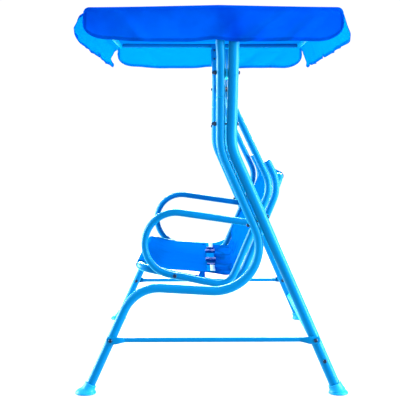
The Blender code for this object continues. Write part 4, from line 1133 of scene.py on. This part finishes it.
def make_canopy_bars():
    for sign, side in SIDE_NAMES:
        y = sign * FRAME_Y
        low_x = CANOPY_BAR_X["front"] + BAR_R + GAP
        high_x = CANOPY_BAR_X["rear"] - BAR_R - GAP
        bm = bmesh.new()
        tube(bm, [flat((x, CANOPY_BAR_Z), y) for x in (low_x, high_x)], BAR_R, Y_AXIS, sides=THIN_SIDES)
        inner = sign * (TAB_FACE - TAB_THICK)
        box(bm, (TAB_X[0], sign * TAB_FACE, TAB_LOW_Z), (TAB_X[1], inner, CANOPY_BAR_Z + 0.002), 0.0007)
        piece("canopy_side_tube_" + side, bm, ENAMEL, "frame", ["canopy_side_bar_" + side])
        bm = bmesh.new()
        for z in CANOPY_SCREW_Z:
            pan_head(bm, Vector((CANOPY_SCREW_X, inner - sign * 0.0001, z)), -sign * Y_AXIS)
        piece("canopy_tab_screws_" + side, bm, STEEL, "frame")
    for where in ("front", "rear"):
        cross_tube(f"canopy_{where}_tube", f"canopy_{where}_bar", (CANOPY_BAR_X[where], CANOPY_BAR_Z),
                   CANOPY_Y - 0.008, BAR_R, sides=THIN_SIDES)


# ---- stage, light and camera
FLOOR_R = 3.2
FLOOR_Z = -0.0004  # just below the boots' soles


def area_light(name, place, target, size, power):
    data = bpy.data.lights.new(name, "AREA")
    data.shape = "RECTANGLE"
    data.size, data.size_y = size
    data.energy = power
    obj = placed(name, data)
    obj.location = place
    obj.rotation_euler = (Vector(target) - Vector(place)).to_track_quat("-Z", "Y").to_euler()
    obj.visible_camera = False


def make_stage():
    """A pale floor that glows a little, a white world and five soft panels of light."""
    bm = bmesh.new()
    bmesh.ops.create_circle(bm, cap_ends=True, segments=96, radius=FLOOR_R)
    floor = placed_mesh("floor", bm)
    floor.location.z = FLOOR_Z
    mat = blank_material("pale_floor", {
        "Base Color": (0.27, 0.27, 0.272, 1), "Roughness": 0.9, "Specular IOR Level": 0,
        "Emission Color": (1, 1, 1, 1), "Emission Strength": 0.6})[0]
    floor.data.materials.append(mat)
    world = bpy.data.worlds.new("studio")
    bpy.context.scene.world = world
    world.use_nodes = True
    back = world.node_tree.nodes["Background"]
    back.inputs["Color"].default_value = (1, 1, 1, 1)
    back.inputs["Strength"].default_value = 1.05
    area_light("rear_side_panel", (2.8, -1.05, 0.95), (0, 0, 0.6), (1.8, 1.9), 340)
    area_light("front_side_panel", (-3, 0.45, 0.95), (0, 0, 0.6), (2.2, 1.9), 330)
    area_light("back_panel", (0, 3.2, 1.6), (0, 0.4, 1), (3.2, 1.1), 400)
    area_light("near_panel", (0.4, -3.4, 1.9), (0, 0, 0.6), (2.6, 1.6), 15)
    area_light("top_panel", (0.2, -0.6, 3.4), (0, 0, 0.5), (2.2, 2.2), 60)


def make_camera():
    """The photo's viewpoint: level, and square to the swing's left side."""
    data = bpy.data.cameras.new("camera")
    data.sensor_width = 36
    data.lens = 83.61
    data.shift_x = -0.0025
    data.shift_y = -0.17
    camera = placed("camera", data)
    camera.location = (-0.029, -3.07, 0.7197)
    camera.rotation_euler = (radians(90), 0, 0)
    bpy.context.scene.camera = camera


for sign, side in SIDE_NAMES:
    make_side_frame(sign, side)
    for where in ("front", "rear"):
        make_boot(sign, side, where)
    make_brace(sign, side)
    make_fasteners(sign, side)
    make_pivot(sign, side)
    make_hanger(sign, side)
make_cross_tubes()
make_seat_tubes()
make_canopy_bars()
make_sling()
make_belts()
make_canopy()
make_stage()
make_camera()
bpy.context.scene.view_settings.view_transform = "Standard"
